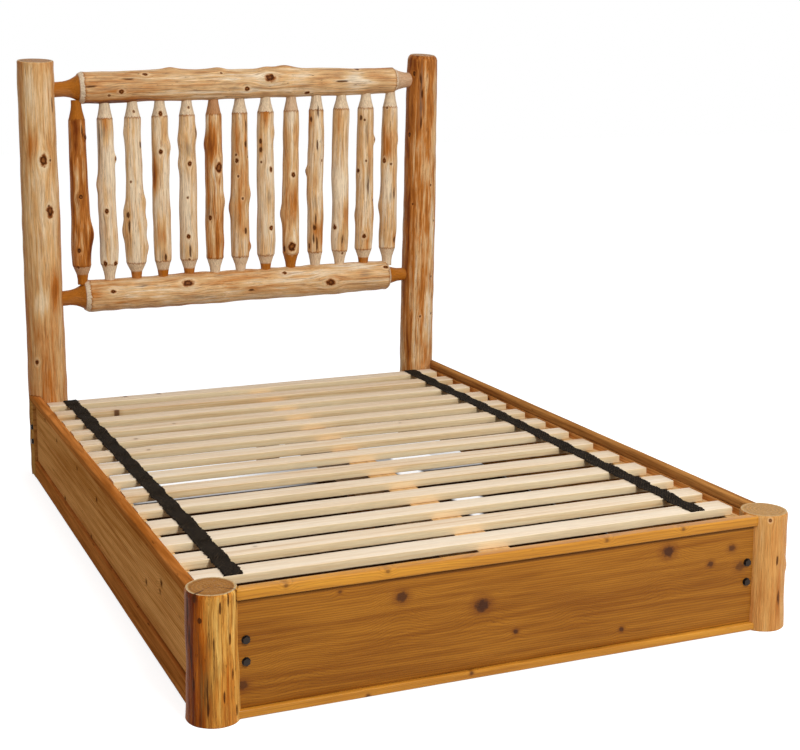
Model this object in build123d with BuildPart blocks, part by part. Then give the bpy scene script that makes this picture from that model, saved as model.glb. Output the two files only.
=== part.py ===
from build123d import *
import math
import os

os.makedirs("parts", exist_ok=True)

# Millimetres. +X is the bed's right side seen from the foot, +Y is the head, z = 0 is the floor.
# The origin is on the floor, under the middle of the whole bed.

# Space between the boards, and the posts that stand round it
rail_span = 1548.0           # between the inner faces of the side rails
bed_length = 2272.0          # outermost point of the head posts to that of the foot posts
foot_post_radius = 62.0
foot_post_base_radius = 65.0
foot_post_height = 315.0
foot_post_stations = (70.0, 180.0)
foot_post_bevel = 3.0
foot_post_inset = 15.5       # the post's axis is this far inside the rail's inner face
head_post_base_radius = 70.0     # left post, the thicker log
head_post_top_radius = 64.0
head_post_height = 1492.0
head_post_stations = (300.0, 900.0)  # heights at which the log's radius is given
head_post_bevel = 3.0
head_post_inset = 36.0
lean_post_base_radius = 66.0     # right post, thinner, leans outwards
lean_post_top_radius = 58.6
lean_post_height = 1503.0
lean_post_bevel = 8.0
lean_post_inset = 46.0
lean_post_excess = 5.0       # the leaning log is drawn this far below the floor, then cut level
lean = 26.0                  # how far the right post's top stands outside its base

# Boards
board = 19.0                 # planks of the rails and of the footboard
rim = 30.0                   # depth of the strips that cap a board's edges
rail_top = 304.0
rail_bottom = 5.0
rail_cap = 25.0              # height of the side rail's top strip
rail_skirt = 61.0            # height of its bottom strip
plank_joint = 185.0          # where the lower plank meets the upper one
stile_width = 63.0
rail_into_head_post = 12.0   # past the head post's axis
rail_into_foot_post = 26.0   # short of the foot post's axis
foot_top = 314.0
foot_bottom = 1.5
foot_cap = 27.0
foot_skirt = 21.5
foot_face = 43.0             # footboard's outer face, outside the foot posts' axes
panel_into_post = 31.0       # past the post's inner side

# Slat deck
slat_count = 14
slat_width = 66.0
slat_thickness = 22.5
slat_foot_gap = 145.3        # last slat to the footboard
# a loose deck rolls out unevenly: how far each slat lies towards the foot from even spacing
slat_drift = [0, -1, -1, -2, -3, -3, -4, -4, 4, 14, 18, 17, 11, 0]
slat_end_gap = 15.0          # slat end to rail
slat_head_gap = 0.7          # first slat to the head posts
slat_drop = 21.6             # slat top below the rail's top
ledger = 38.0
strap_width = 48.0
strap_thickness = 1.6
strap_inset_left = 111.0     # strap's centre line to the rail, at both ends
strap_inset_right = 90.0     # the right strap runs a little askew
strap_skew = 34.0
beam_side = 88.0             # a square timber
beam_offset = 28.0           # right of the middle
leg_radius = 42.0            # short logs with a turned tenon up into the beam
leg_tenon = 19.0
leg_tenon_length = 50.0
leg_from_end = 120.0         # the beam's ends to the axes of the outer legs
leg_count = 3
cleat_cheek = 38.0           # wood each side of the beam's end
cleat_sill = 38.0            # and under it
cleat_lap = 50.0             # how far the cheeks reach up beside it

# Headboard
top_rail_radius = (58.5, 49.5)       # at the left end and at the right end
top_rail_drop = (94.0, 90.0)         # the axis below the top of the post there
top_tenon_drop = (99.0, 91.0)
bottom_rail_radius = (59.5, 58.0)
bottom_rail_height = (651.0, 657.0)  # of the axis
bottom_tenon_height = (646.0, 658.0)
top_tenon = (26.5, 28.0)             # radius in the left post and in the right one
bottom_tenon = (27.0, 24.5)
tenon_depth = 70.0                   # how far a rail's tenon goes past the post's face
tenon_root = 20.0                    # the tenon starts this far inside the barrel
tenon_flare = 20.0                   # how much wider it is there
flare_length = 70.0
rail_bevels = (6.0, 8.0)             # at the barrel's left and right end
# a log's own unevenness: place along the barrel, share of the right end's radius, fullness
rail_waists = ((0.35, 0.4, 0.5), (0.7, 0.7, 0.0))
top_shoulder_gap = (148.0, 119.0)    # from the posts' axes
bottom_shoulder_gap = (145.0, 124.0)
spindle_count = 13
top_mortise_inset = (-8.0, 15.0)     # the end spindles' axes inside the shoulders
bottom_mortise_inset = (-3.0, 0.0)
spindle_tenon = 18.5         # radius
spindle_cone = 50.0          # length of the pencil point at each end
spindle_taper = 60.0         # above the foot's cone, the barrel swells over this length
spindle_swell = 2.0
spindle_middle = 0.55        # where the middle radius is given, as a share of the length
spindle_shoulders = [        # radius at the barrel's foot, middle and top
    (36.0, 32.5, 30.0), (33.0, 31.5, 29.0), (39.0, 31.0, 30.0), (32.5, 31.5, 30.5),
    (34.0, 32.0, 30.0), (34.0, 34.0, 29.5), (35.5, 34.0, 30.5), (34.0, 33.0, 31.0),
    (33.0, 31.0, 29.5), (31.5, 31.5, 28.5), (33.0, 32.5, 31.5), (35.0, 33.5, 31.0),
    (34.5, 32.5, 29.5),
]

# Fasteners
bolt = 4.0                   # radius of the M8 bolts
washer = 10.5
washer_height = 1.5
hex_across = 16.0
hex_height = 5.5
bolt_rows = (189.0, 136.0)   # heights, the same on the rails and on the footboard
lag_length = 105.0
lag_point = 6.0
lag_point_taper = 30.0       # degrees
bolt_past_nut = 4.0
lag_from_end = 46.0          # side bolts to the rail's end
bolt_from_post = 8.5         # footboard bolts beside the foot post
block_height = 200.0
block_depth = 38.0
block_width = 76.0
screw = 2.5
screw_head = 4.5
screw_length = 54.0
screws_per_ledger = 6

# Clearances
snug = 0.15                  # beside a board let into a post
bore_play = 0.1              # around a tenon or a bolt, on the radius
blind_end = 1.0              # between a tenon's end and its mortise's
rest_gap = 0.3               # under the loose slat deck
edge = 2.0                   # eased edges

rail_inner = rail_span / 2
rail_outer = rail_inner + rim
head_y = bed_length / 2 - head_post_base_radius
foot_y = foot_post_base_radius - bed_length / 2
foot_x = rail_inner - foot_post_inset
left_x = head_post_inset - rail_inner
right_x = rail_inner - lean_post_inset
rail_head_end = head_y + rail_into_head_post
rail_foot_end = foot_y + rail_into_foot_post
stile_start = rail_head_end - stile_width
ledger_top = rail_top - slat_drop - slat_thickness - rest_gap
slat_bottom = ledger_top + rest_gap
slat_top = slat_bottom + slat_thickness
footboard_outer = foot_y - foot_face
footboard_inner = footboard_outer + rim
ledger_inner = rail_inner - ledger
ledger_head_end = head_y - head_post_base_radius
ledger_foot_end = foot_y + foot_post_radius + snug


def log(start, along, outline):
    """Revolves a half outline, given as (distance along the axis, radius), round the axis."""
    with BuildSketch(Plane(origin=start, x_dir=along, z_dir=(0, -1, 0))) as half:
        with BuildLine():
            Spline(*outline)
            Polyline(outline[-1], (outline[-1][0], 0), (outline[0][0], 0), outline[0])
        make_face()
    revolve(half.sketch, axis=Axis(start, along))


def cone(start, along, length, start_radius, end_radius):
    """Adds a straight round taper, such as a tenon."""
    with BuildSketch(Plane(origin=start, x_dir=along, z_dir=(0, -1, 0))) as half:
        with BuildLine():
            Polyline(
                (0, 0), (0, start_radius), (length, end_radius), (length, 0), (0, 0)
            )
        make_face()
    revolve(half.sketch, axis=Axis(start, along))


def bore(start, along, length, radius):
    """Drills a round hole."""
    with BuildSketch(Plane(origin=start, z_dir=along)) as mouth:
        Circle(radius)
    extrude(mouth.sketch, amount=length, mode=Mode.SUBTRACT)


def countersink(mouth, along):
    """Widens a screw's hole at its mouth to take the head."""
    with BuildSketch(Plane(origin=mouth, z_dir=along)) as wide:
        Circle(screw_head + bore_play)
    with BuildSketch(Plane(origin=mouth, z_dir=along).offset(screw_head - screw)) as narrow:
        Circle(screw + bore_play)
    loft([wide.sketch, narrow.sketch], mode=Mode.SUBTRACT)


def block(low, high, mode=Mode.ADD):
    """Adds or takes away a box between two corners."""
    middle = [(a + b) / 2 for a, b in zip(low, high)]
    size = [b - a for a, b in zip(low, high)]
    with Locations(tuple(middle)):
        Box(*size, mode=mode)


def save(part, name):
    part.label = name
    export_step(part, f"parts/{name}.step")


def rail_axis(left, right, left_x_end, right_x_end):
    """Start point and direction of a headboard rail's axis."""
    run = right_x_end - left_x_end
    return (left_x_end, head_y, left[1]), Vector(run, 0, right[1] - left[1]).normalized()


def axis_height(left, right, left_x_end, right_x_end, x):
    share = (x - left_x_end) / (right_x_end - left_x_end)
    return left[1] + share * (right[1] - left[1])


def barrel_radius(left, right, left_x_end, right_x_end, x):
    share = (x - left_x_end) / (right_x_end - left_x_end)
    return left[0] + share * (right[0] - left[0])


# Head posts. Each is cut away outside the rail's inner face, where the rail lies on it.
lean_axis = Vector(lean, 0, lean_post_height).normalized()
top_shoulders = (left_x + top_shoulder_gap[0], right_x + lean - top_shoulder_gap[1])
bottom_shoulders = (left_x + bottom_shoulder_gap[0], right_x - bottom_shoulder_gap[1])
post_heights = (head_post_height, lean_post_height)
top_tenon_height = [tall - drop for tall, drop in zip(post_heights, top_tenon_drop)]
top_rail_height = [tall - drop for tall, drop in zip(post_heights, top_rail_drop)]
top_rail_left, top_rail_right = zip(top_rail_radius, top_rail_height)
bottom_rail_left, bottom_rail_right = zip(bottom_rail_radius, bottom_rail_height)


def post_mortises(side):
    """Holes for the two headboard rails, drilled from the bed's middle outwards."""
    for radii, heights, ends in (
        (top_tenon, top_tenon_height, top_shoulders),
        (bottom_tenon, bottom_tenon_height, bottom_shoulders),
    ):
        out = (1, 0, 0) if side else (-1, 0, 0)
        reach = mortise_reach(side, heights[side], ends[side])
        bore((ends[side], head_y, heights[side]), out, reach, radii[side] + bore_play)


def mortise_reach(side, height, shoulder):
    """From a rail's shoulder to the blind end of its mortise."""
    if side:
        axis = right_x + lean * height / lean_post_height
        return axis - lean_post_top_radius - shoulder + tenon_depth
    return shoulder - (left_x + head_post_top_radius) + tenon_depth


with BuildPart() as head_post_left:
    log(
        (left_x, head_y, 0),
        (0, 0, 1),
        [
            (0, head_post_base_radius),
            (head_post_stations[0], head_post_base_radius - 1.0),
            (head_post_stations[1], (head_post_base_radius + head_post_top_radius) / 2),
            (head_post_height, head_post_top_radius),
        ],
    )
    chamfer(head_post_left.edges().sort_by(Axis.Z)[-1], head_post_bevel)
    block(
        (-rail_outer - rim, ledger_head_end - edge, -edge),
        (-rail_inner + snug, rail_head_end + snug, rail_top + snug),
        Mode.SUBTRACT,
    )
    post_mortises(0)
    for height in bolt_rows:
        bore(
            (-rail_outer, rail_head_end - lag_from_end, height),
            (1, 0, 0),
            lag_length,
            bolt + bore_play,
        )
save(head_post_left.part, "head_post_left")

with BuildPart() as head_post_right:
    below = lean_post_excess
    log(
        Vector(right_x, head_y, 0) - lean_axis * below,
        lean_axis,
        [
            (0, lean_post_base_radius),
            (head_post_stations[0], lean_post_base_radius - 1.4),
            (head_post_stations[1], (lean_post_base_radius + lean_post_top_radius) / 2),
            (lean_post_height + below, lean_post_top_radius),
        ],
    )
    chamfer(head_post_right.edges().sort_by(Axis.Z)[-1], lean_post_bevel)
    split(bisect_by=Plane.XY, keep=Keep.TOP)
    block(
        (rail_inner - snug, ledger_head_end - edge, -edge),
        (rail_outer + rim, rail_head_end + snug, rail_top + snug),
        Mode.SUBTRACT,
    )
    post_mortises(1)
    for height in bolt_rows:
        bore(
            (rail_outer, rail_head_end - lag_from_end, height),
            (-1, 0, 0),
            lag_length,
            bolt + bore_play,
        )
save(head_post_right.part, "head_post_right")

# Headboard rails: a log barrel with a turned tenon at each end that flares to the shoulder
rails = {
    "headboard_top_rail": (
        top_rail_left, top_rail_right, top_shoulders, top_tenon, top_tenon_height
    ),
    "headboard_bottom_rail": (
        bottom_rail_left, bottom_rail_right, bottom_shoulders, bottom_tenon, bottom_tenon_height
    ),
}


def spindle_x(index, high):
    """Mortises are evenly spaced along each rail."""
    ends = top_shoulders if high else bottom_shoulders
    inset = top_mortise_inset if high else bottom_mortise_inset
    first, last = ends[0] + inset[0], ends[1] - inset[1]
    return first + index * (last - first) / (spindle_count - 1)


def spindle_line(index):
    """Foot of a spindle in the bottom rail, its direction and its length."""
    low_x, high_x = spindle_x(index, False), spindle_x(index, True)
    low_z = axis_height(bottom_rail_left, bottom_rail_right, *bottom_shoulders, low_x)
    high_z = axis_height(top_rail_left, top_rail_right, *top_shoulders, high_x)
    line = Vector(high_x - low_x, 0, high_z - low_z)
    return Vector(low_x, head_y, low_z), line.normalized(), line.length


for name, (left, right, ends, tenon, tenon_height) in rails.items():
    with BuildPart() as rail:
        start, along = rail_axis(left, right, *ends)
        barrel = ends[1] - ends[0]
        log(
            start,
            along,
            [
                (0, left[0]),
                *(
                    (barrel * place, left[0] * (1 - share) + right[0] * share + fullness)
                    for place, share, fullness in rail_waists
                ),
                (barrel, right[0]),
            ],
        )
        chamfer(rail.edges().group_by(Axis.X)[0], rail_bevels[0])
        chamfer(rail.edges().group_by(Axis.X)[-1], rail_bevels[1])
        for side, out in ((0, (-1, 0, 0)), (1, (1, 0, 0))):
            reach = mortise_reach(side, tenon_height[side], ends[side]) - blind_end
            neck = (ends[side] - tenon_root * out[0], head_y, tenon_height[side])
            cone(neck, out, reach + tenon_root, tenon[side], tenon[side])
            cone(neck, out, flare_length, tenon[side] + tenon_flare, tenon[side])
        for index in range(spindle_count):
            foot, along, length = spindle_line(index)
            if name == "headboard_top_rail":
                foot, along = foot + along * length, along * -1
            bore(foot, along, 2 * left[0], spindle_tenon + bore_play)
    save(rail.part, name)

# Spindles: tapered barrels, pointed like a pencil down to round tenons
for index, radii in enumerate(spindle_shoulders):
    foot, along, length = spindle_line(index)
    foot = foot + along * blind_end
    length = length - 2 * blind_end
    low_x, high_x = spindle_x(index, False), spindle_x(index, True)
    # the tenon is hidden in each rail as far as the cone
    low_neck = barrel_radius(bottom_rail_left, bottom_rail_right, *bottom_shoulders, low_x)
    high_neck = barrel_radius(top_rail_left, top_rail_right, *top_shoulders, high_x)
    shoulder = low_neck + spindle_cone
    top_shoulder = length - high_neck - spindle_cone
    shoulder_radius = radii[0] - spindle_swell
    with BuildPart() as spindle:
        cone(foot, along, length, spindle_tenon, spindle_tenon)
        cone(foot + along * low_neck, along, spindle_cone, spindle_tenon, shoulder_radius)
        log(
            foot,
            along,
            [
                (shoulder, shoulder_radius),
                (shoulder + spindle_taper, radii[0]),
                (length * spindle_middle, radii[1]),
                (top_shoulder, radii[2]),
            ],
        )
        cone(foot + along * top_shoulder, along, spindle_cone, radii[2], spindle_tenon)
    save(spindle.part, f"headboard_spindle_{index + 1:02d}")

# Foot posts: short logs, slotted from below for the side rail and the footboard
for side, name in ((-1, "foot_post_left"), (1, "foot_post_right")):
    with BuildPart() as foot_post:
        log(
            (side * foot_x, foot_y, 0),
            (0, 0, 1),
            [
                (0, foot_post_base_radius),
                (foot_post_stations[0], foot_post_base_radius - 1.8),
                (foot_post_stations[1], foot_post_radius),
                (foot_post_height, foot_post_radius),
            ],
        )
        chamfer(foot_post.edges().sort_by(Axis.Z)[-1], foot_post_bevel)
        inner, outer = sorted((side * (rail_inner - snug), side * (rail_outer + snug)))
        block(
            (inner, rail_foot_end - snug, -edge),
            (outer, foot_y + 2 * foot_post_base_radius, rail_top + snug),
            Mode.SUBTRACT,
        )
        slot_end = side * (foot_x - foot_post_radius + panel_into_post + snug)
        inner, outer = sorted((side * (foot_x - 2 * foot_post_radius), slot_end))
        block(
            (inner, footboard_outer - snug, -edge),
            (outer, footboard_inner + block_depth + snug, foot_top - foot_cap + snug),
            Mode.SUBTRACT,
        )
    save(foot_post.part, name)

# Beam on edge under the slats, from the footboard to the second slat
beam_top = slat_bottom - rest_gap
beam_bottom = beam_top - beam_side
beam_low = beam_offset - beam_side / 2
beam_high = beam_offset + beam_side / 2
cleat_mouths = [
    (
        beam_offset + side * (beam_side + cleat_cheek) / 2,
        footboard_inner + ledger,
        beam_bottom + cleat_lap / 2,
    )
    for side in (-1, 1)
]

# Footboard: one wide board with a strip along its top and its bottom edge
panel_end = foot_x - foot_post_radius + panel_into_post
bolt_x = foot_x - foot_post_radius - bolt_from_post

with BuildPart() as footboard_panel:
    block(
        (-panel_end, footboard_inner - board, foot_bottom + foot_skirt),
        (panel_end, footboard_inner, foot_top - foot_cap),
    )
    for side in (-1, 1):
        for height in bolt_rows:
            bore(
                (side * bolt_x, footboard_outer, height),
                (0, 1, 0),
                2 * rim,
                bolt + bore_play,
            )
    for mouth in cleat_mouths:
        bore(mouth, (0, -1, 0), screw_length + bore_play, screw + bore_play)
save(footboard_panel.part, "footboard_panel")

# The top strip is scribed round the posts, which stand full round beside it
with BuildPart() as footboard_top_trim:
    block(
        (-foot_x, footboard_outer, foot_top - foot_cap),
        (foot_x, footboard_inner, foot_top),
    )
    fillet(footboard_top_trim.edges().filter_by(Axis.X), edge)
    for side in (-1, 1):
        bore(
            (side * foot_x, foot_y, foot_top - 2 * foot_cap),
            (0, 0, 1),
            3 * foot_cap,
            foot_post_radius + snug,
        )
save(footboard_top_trim.part, "footboard_top_trim")

with BuildPart() as footboard_bottom_trim:
    block(
        (-panel_end, footboard_outer, foot_bottom),
        (panel_end, footboard_inner, foot_bottom + foot_skirt),
    )
    fillet(footboard_bottom_trim.edges().filter_by(Axis.X), edge)
save(footboard_bottom_trim.part, "footboard_bottom_trim")

# Side rails: two planks edge to edge, strips along top and bottom, an upright at the head end
screw_run = (ledger_head_end - ledger_foot_end) / screws_per_ledger
screw_spots = [ledger_foot_end + screw_run * (n + 0.5) for n in range(screws_per_ledger)]
screw_height = ledger_top - ledger / 2

for side, hand in ((-1, "left"), (1, "right")):

    def across(near, far):
        """x range between two distances from the bed's middle, on this side."""
        return sorted((side * near, side * far))

    plank_low, plank_high = across(rail_inner, rail_inner + board)
    rim_low, rim_high = across(rail_inner, rail_outer)
    skirt_top = rail_bottom + rail_skirt
    cap_bottom = rail_top - rail_cap

    with BuildPart() as upper_plank:
        block(
            (plank_low, rail_foot_end, plank_joint),
            (plank_high, stile_start, cap_bottom),
        )
        for y in screw_spots:
            bore(
                (side * ledger_inner, y, screw_height),
                (side, 0, 0),
                screw_length + bore_play,
                screw + bore_play,
            )
    save(upper_plank.part, f"rail_{hand}_upper_plank")

    with BuildPart() as lower_plank:
        block(
            (plank_low, rail_foot_end, skirt_top),
            (plank_high, stile_start, plank_joint),
        )
    save(lower_plank.part, f"rail_{hand}_lower_plank")

    with BuildPart() as top_trim:
        block((rim_low, rail_foot_end, cap_bottom), (rim_high, rail_head_end, rail_top))
        fillet(top_trim.edges().filter_by(Axis.Y), edge)
    save(top_trim.part, f"rail_{hand}_top_trim")

    with BuildPart() as bottom_trim:
        block((rim_low, rail_foot_end, rail_bottom), (rim_high, stile_start, skirt_top))
        fillet(bottom_trim.edges().filter_by(Axis.Y), edge)
    save(bottom_trim.part, f"rail_{hand}_bottom_trim")

    with BuildPart() as stile:
        block((rim_low, stile_start, rail_bottom), (rim_high, rail_head_end, cap_bottom))
        for height in bolt_rows:
            bore(
                (side * rail_outer, rail_head_end - lag_from_end, height),
                (-side, 0, 0),
                2 * rim,
                bolt + bore_play,
            )
    save(stile.part, f"rail_{hand}_head_stile")

    with BuildPart() as ledger_strip:
        ledger_low, ledger_high = across(ledger_inner, rail_inner)
        block(
            (ledger_low, ledger_foot_end, ledger_top - ledger),
            (ledger_high, ledger_head_end, ledger_top),
        )
        for y in screw_spots:
            mouth = (side * ledger_inner, y, screw_height)
            bore(mouth, (side, 0, 0), 2 * ledger, screw + bore_play)
            countersink(mouth, (side, 0, 0))
    save(ledger_strip.part, f"rail_{hand}_ledger")

# Slats, each stapled to both straps
strap_left_x = strap_inset_left - rail_inner
strap_right_x = rail_inner - strap_inset_right
deck_back = ledger_head_end - slat_head_gap
deck_front = footboard_inner + slat_foot_gap
slat_pitch = (deck_back - deck_front - slat_width) / (slat_count - 1)
staple_wire = 1.2
staple_crown = 11.0
staple_leg = 12.0
staple_offset = 13.0         # each side of the strap's centre line


def slat_back(index):
    return deck_back - index * slat_pitch - slat_drift[index]


def strap_x(y):
    """Centre lines of the two straps at this place along the bed."""
    skew = strap_skew * (deck_back - y) / (deck_back - deck_front)
    return strap_left_x, strap_right_x - skew


def staple_places(index):
    """Two staples on each strap, along the middle of the slat."""
    y = slat_back(index) - slat_width / 2
    return [(x + shift, y) for x in strap_x(y) for shift in (-staple_offset, staple_offset)]


def staple_legs(slats, mode):
    """Adds the staples' legs on these slats, or the slots that they drive into."""
    spread = (staple_crown - staple_wire) / 2
    crown_bottom = slat_top + strap_thickness
    middle = crown_bottom - (staple_leg + strap_thickness) / 2
    spots = [
        (x + shift, y, middle)
        for index in slats
        for x, y in staple_places(index)
        for shift in (-spread, spread)
    ]
    with Locations(*spots):
        Box(staple_wire, staple_wire, staple_leg + strap_thickness, mode=mode)


for index in range(slat_count):
    with BuildPart() as slat:
        half_length = rail_inner - slat_end_gap
        block(
            (-half_length, slat_back(index) - slat_width, slat_bottom),
            (half_length, slat_back(index), slat_top),
        )
        fillet(slat.edges().filter_by(Axis.X), edge)
        staple_legs([index], Mode.SUBTRACT)
    save(slat.part, f"slat_{index + 1:02d}")

for which, hand in ((0, "left"), (1, "right")):
    with BuildPart() as strap:
        half = strap_width / 2
        back_x, front_x = strap_x(deck_back)[which], strap_x(deck_front)[which]
        with BuildSketch(Plane.XY.offset(slat_top)):
            with BuildLine():
                Polyline(
                    (back_x - half, deck_back), (back_x + half, deck_back),
                    (front_x + half, deck_front), (front_x - half, deck_front),
                    close=True,
                )
            make_face()
        extrude(amount=strap_thickness)
        staple_legs(range(slat_count), Mode.SUBTRACT)
    save(strap.part, f"strap_{hand}")

with BuildPart() as strap_staples:
    crowns = [
        (x, y, slat_top + strap_thickness + staple_wire / 2)
        for index in range(slat_count)
        for x, y in staple_places(index)
    ]
    with Locations(*crowns):
        Box(staple_crown, staple_wire, staple_wire)
    staple_legs(range(slat_count), Mode.ADD)
save(strap_staples.part, "strap_staples")

# Corner blocks inside the footboard, which its bolts draw tight against the posts
block_outer = panel_end
block_inner = panel_end - block_width
block_bottom = (bolt_rows[0] + bolt_rows[1] - block_height) / 2

with BuildPart() as corner_blocks:
    for side in (-1, 1):
        low, high = sorted((side * block_inner, side * block_outer))
        block(
            (low, footboard_inner, block_bottom),
            (high, footboard_inner + block_depth, block_bottom + block_height),
        )
        for height in bolt_rows:
            bore(
                (side * bolt_x, footboard_inner, height),
                (0, 1, 0),
                block_depth,
                bolt + bore_play,
            )
save(corner_blocks.part, "corner_blocks")


def hex_head(seat, out, depth_bored=0.0):
    """A washer with a hexagon on it, standing out from its seat."""
    with BuildSketch(Plane(origin=seat, z_dir=out)) as disc:
        Circle(washer)
    extrude(disc.sketch, amount=washer_height)
    with BuildSketch(Plane(origin=seat, z_dir=out).offset(washer_height)) as hexagon:
        RegularPolygon(hex_across / 2, 6, major_radius=False)
    extrude(hexagon.sketch, amount=hex_height)
    if depth_bored:
        bore(seat, out, depth_bored, bolt + bore_play)


bolt_length = board + block_depth + washer_height + hex_height + bolt_past_nut

with BuildPart() as footboard_bolts:
    for side in (-1, 1):
        for height in bolt_rows:
            seat = (side * bolt_x, footboard_inner - board, height)
            hex_head(seat, (0, -1, 0))
            with BuildSketch(Plane(origin=seat, z_dir=(0, 1, 0))):
                Circle(bolt)
            extrude(amount=bolt_length)
save(footboard_bolts.part, "footboard_bolts")

with BuildPart() as footboard_bolt_nuts:
    for side in (-1, 1):
        for height in bolt_rows:
            seat = (side * bolt_x, footboard_inner + block_depth, height)
            hex_head(seat, (0, 1, 0), washer_height + hex_height)
save(footboard_bolt_nuts.part, "footboard_bolt_nuts")

with BuildPart() as rail_bolts:
    for side in (-1, 1):
        for height in bolt_rows:
            seat = (side * rail_outer, rail_head_end - lag_from_end, height)
            hex_head(seat, (side, 0, 0))
            shank = lag_length - 2 * bolt
            with BuildSketch(Plane(origin=seat, z_dir=(-side, 0, 0))):
                Circle(bolt)
            extrude(amount=shank)
            with BuildSketch(Plane(origin=seat, z_dir=(-side, 0, 0)).offset(shank)):
                Circle(bolt)
            extrude(amount=lag_point, taper=lag_point_taper)
save(rail_bolts.part, "rail_bolts")

# The beam sits in a cleat at the foot and on the tenons of short log legs
beam_head_end = deck_back - slat_width / 2
leg_run = (beam_head_end - footboard_inner - 2 * leg_from_end) / (leg_count - 1)
leg_spots = [footboard_inner + leg_from_end + leg_run * n for n in range(leg_count)]

with BuildPart() as centre_beam:
    block(
        (beam_low, footboard_inner, beam_bottom),
        (beam_high, beam_head_end, beam_top),
    )
    for y in leg_spots:
        depth = leg_tenon_length + blind_end
        bore((beam_offset, y, beam_bottom), (0, 0, 1), depth, leg_tenon + bore_play)
save(centre_beam.part, "centre_beam")

with BuildPart() as centre_legs:
    for y in leg_spots:
        cone((beam_offset, y, 0), (0, 0, 1), beam_bottom, leg_radius + edge, leg_radius)
        top = (beam_offset, y, beam_bottom)
        cone(top, (0, 0, 1), leg_tenon_length, leg_tenon, leg_tenon)
save(centre_legs.part, "centre_legs")

with BuildPart() as beam_cleat:
    cleat_half = beam_side / 2 + cleat_cheek
    cleat_inner = footboard_inner + ledger
    block(
        (beam_offset - cleat_half, footboard_inner, beam_bottom - cleat_sill),
        (beam_offset + cleat_half, cleat_inner, beam_bottom + cleat_lap),
    )
    block(
        (beam_low - snug, footboard_inner - edge, beam_bottom),
        (beam_high + snug, cleat_inner + edge, beam_bottom + cleat_lap + edge),
        Mode.SUBTRACT,
    )
    for mouth in cleat_mouths:
        bore(mouth, (0, -1, 0), 2 * ledger, screw + bore_play)
        countersink(mouth, (0, -1, 0))
save(beam_cleat.part, "beam_cleat")


def wood_screw(mouth, along):
    """A countersunk screw whose head is flush with the face at its mouth."""
    face = Plane(origin=mouth, z_dir=along)
    neck = face.offset(screw_head - screw)
    with BuildSketch(face) as rim_circle:
        Circle(screw_head)
    with BuildSketch(neck) as neck_circle:
        Circle(screw)
    loft([rim_circle.sketch, neck_circle.sketch])
    extrude(neck_circle.sketch, amount=screw_length - screw_head)


with BuildPart() as wood_screws:
    for side in (-1, 1):
        for y in screw_spots:
            wood_screw((side * ledger_inner, y, screw_height), (side, 0, 0))
    for mouth in cleat_mouths:
        wood_screw(mouth, (0, -1, 0))
save(wood_screws.part, "wood_screws")
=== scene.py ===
import math
from functools import partial

import bpy
import numpy as np
from mathutils import Matrix, Vector


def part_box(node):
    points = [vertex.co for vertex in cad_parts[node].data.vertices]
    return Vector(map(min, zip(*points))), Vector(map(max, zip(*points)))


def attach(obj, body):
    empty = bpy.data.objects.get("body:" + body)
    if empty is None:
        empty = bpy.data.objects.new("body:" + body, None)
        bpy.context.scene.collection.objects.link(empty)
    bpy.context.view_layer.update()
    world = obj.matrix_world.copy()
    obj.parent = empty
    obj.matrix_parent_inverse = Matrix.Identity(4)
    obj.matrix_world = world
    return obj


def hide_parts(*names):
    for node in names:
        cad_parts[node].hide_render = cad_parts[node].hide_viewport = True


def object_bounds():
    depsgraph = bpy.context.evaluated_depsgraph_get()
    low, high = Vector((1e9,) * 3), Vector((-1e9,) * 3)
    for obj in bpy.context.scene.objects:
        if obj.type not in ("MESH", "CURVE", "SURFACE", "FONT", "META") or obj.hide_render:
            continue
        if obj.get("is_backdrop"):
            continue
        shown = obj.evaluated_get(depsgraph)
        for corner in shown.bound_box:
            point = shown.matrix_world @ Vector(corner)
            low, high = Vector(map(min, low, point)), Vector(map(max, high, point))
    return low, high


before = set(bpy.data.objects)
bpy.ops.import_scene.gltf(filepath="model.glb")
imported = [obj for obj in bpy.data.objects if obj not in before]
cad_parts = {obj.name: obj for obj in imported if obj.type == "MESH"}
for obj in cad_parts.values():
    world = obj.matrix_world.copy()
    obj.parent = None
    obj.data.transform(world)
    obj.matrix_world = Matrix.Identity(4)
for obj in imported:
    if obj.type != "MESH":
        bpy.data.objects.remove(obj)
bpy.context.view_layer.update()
print("frame loaded,", len(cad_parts), "nodes")

camera = {
    "place": (-1.62493, -4.04980, 1.48358),
    "yaw": 20.856,  # degrees from the bed's length towards its right side
    "down": 10.141,
    "roll": -0.35,
    "lens": 64.52,
    "shift": (0.100, -0.0708),
}


def intoScene(name, data):
    thing = bpy.data.objects.new(name, data)
    bpy.context.scene.collection.objects.link(thing)
    return thing


def makeCamera():
    data = bpy.data.cameras.new("camera")
    data.lens = camera["lens"]
    data.sensor_width = 36
    data.shift_x, data.shift_y = camera["shift"]
    data.clip_end = 50
    eye = intoScene("camera", data)
    turn = Matrix.Rotation(math.radians(-camera["yaw"]), 4, "Z")
    turn = turn @ Matrix.Rotation(math.radians(90 - camera["down"]), 4, "X")
    turn = turn @ Matrix.Rotation(math.radians(camera["roll"]), 4, "Z")
    eye.matrix_world = Matrix.Translation(camera["place"]) @ turn
    bpy.context.scene.camera = eye


makeCamera()


def linear(code):
    # sRGB hex to the linear colour that sockets take
    parts = [int(code[i:i + 2], 16) / 255 for i in (1, 3, 5)]
    return [c / 12.92 if c <= 0.04045 else ((c + 0.055) / 1.055) ** 2.4 for c in parts] + [1]


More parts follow.
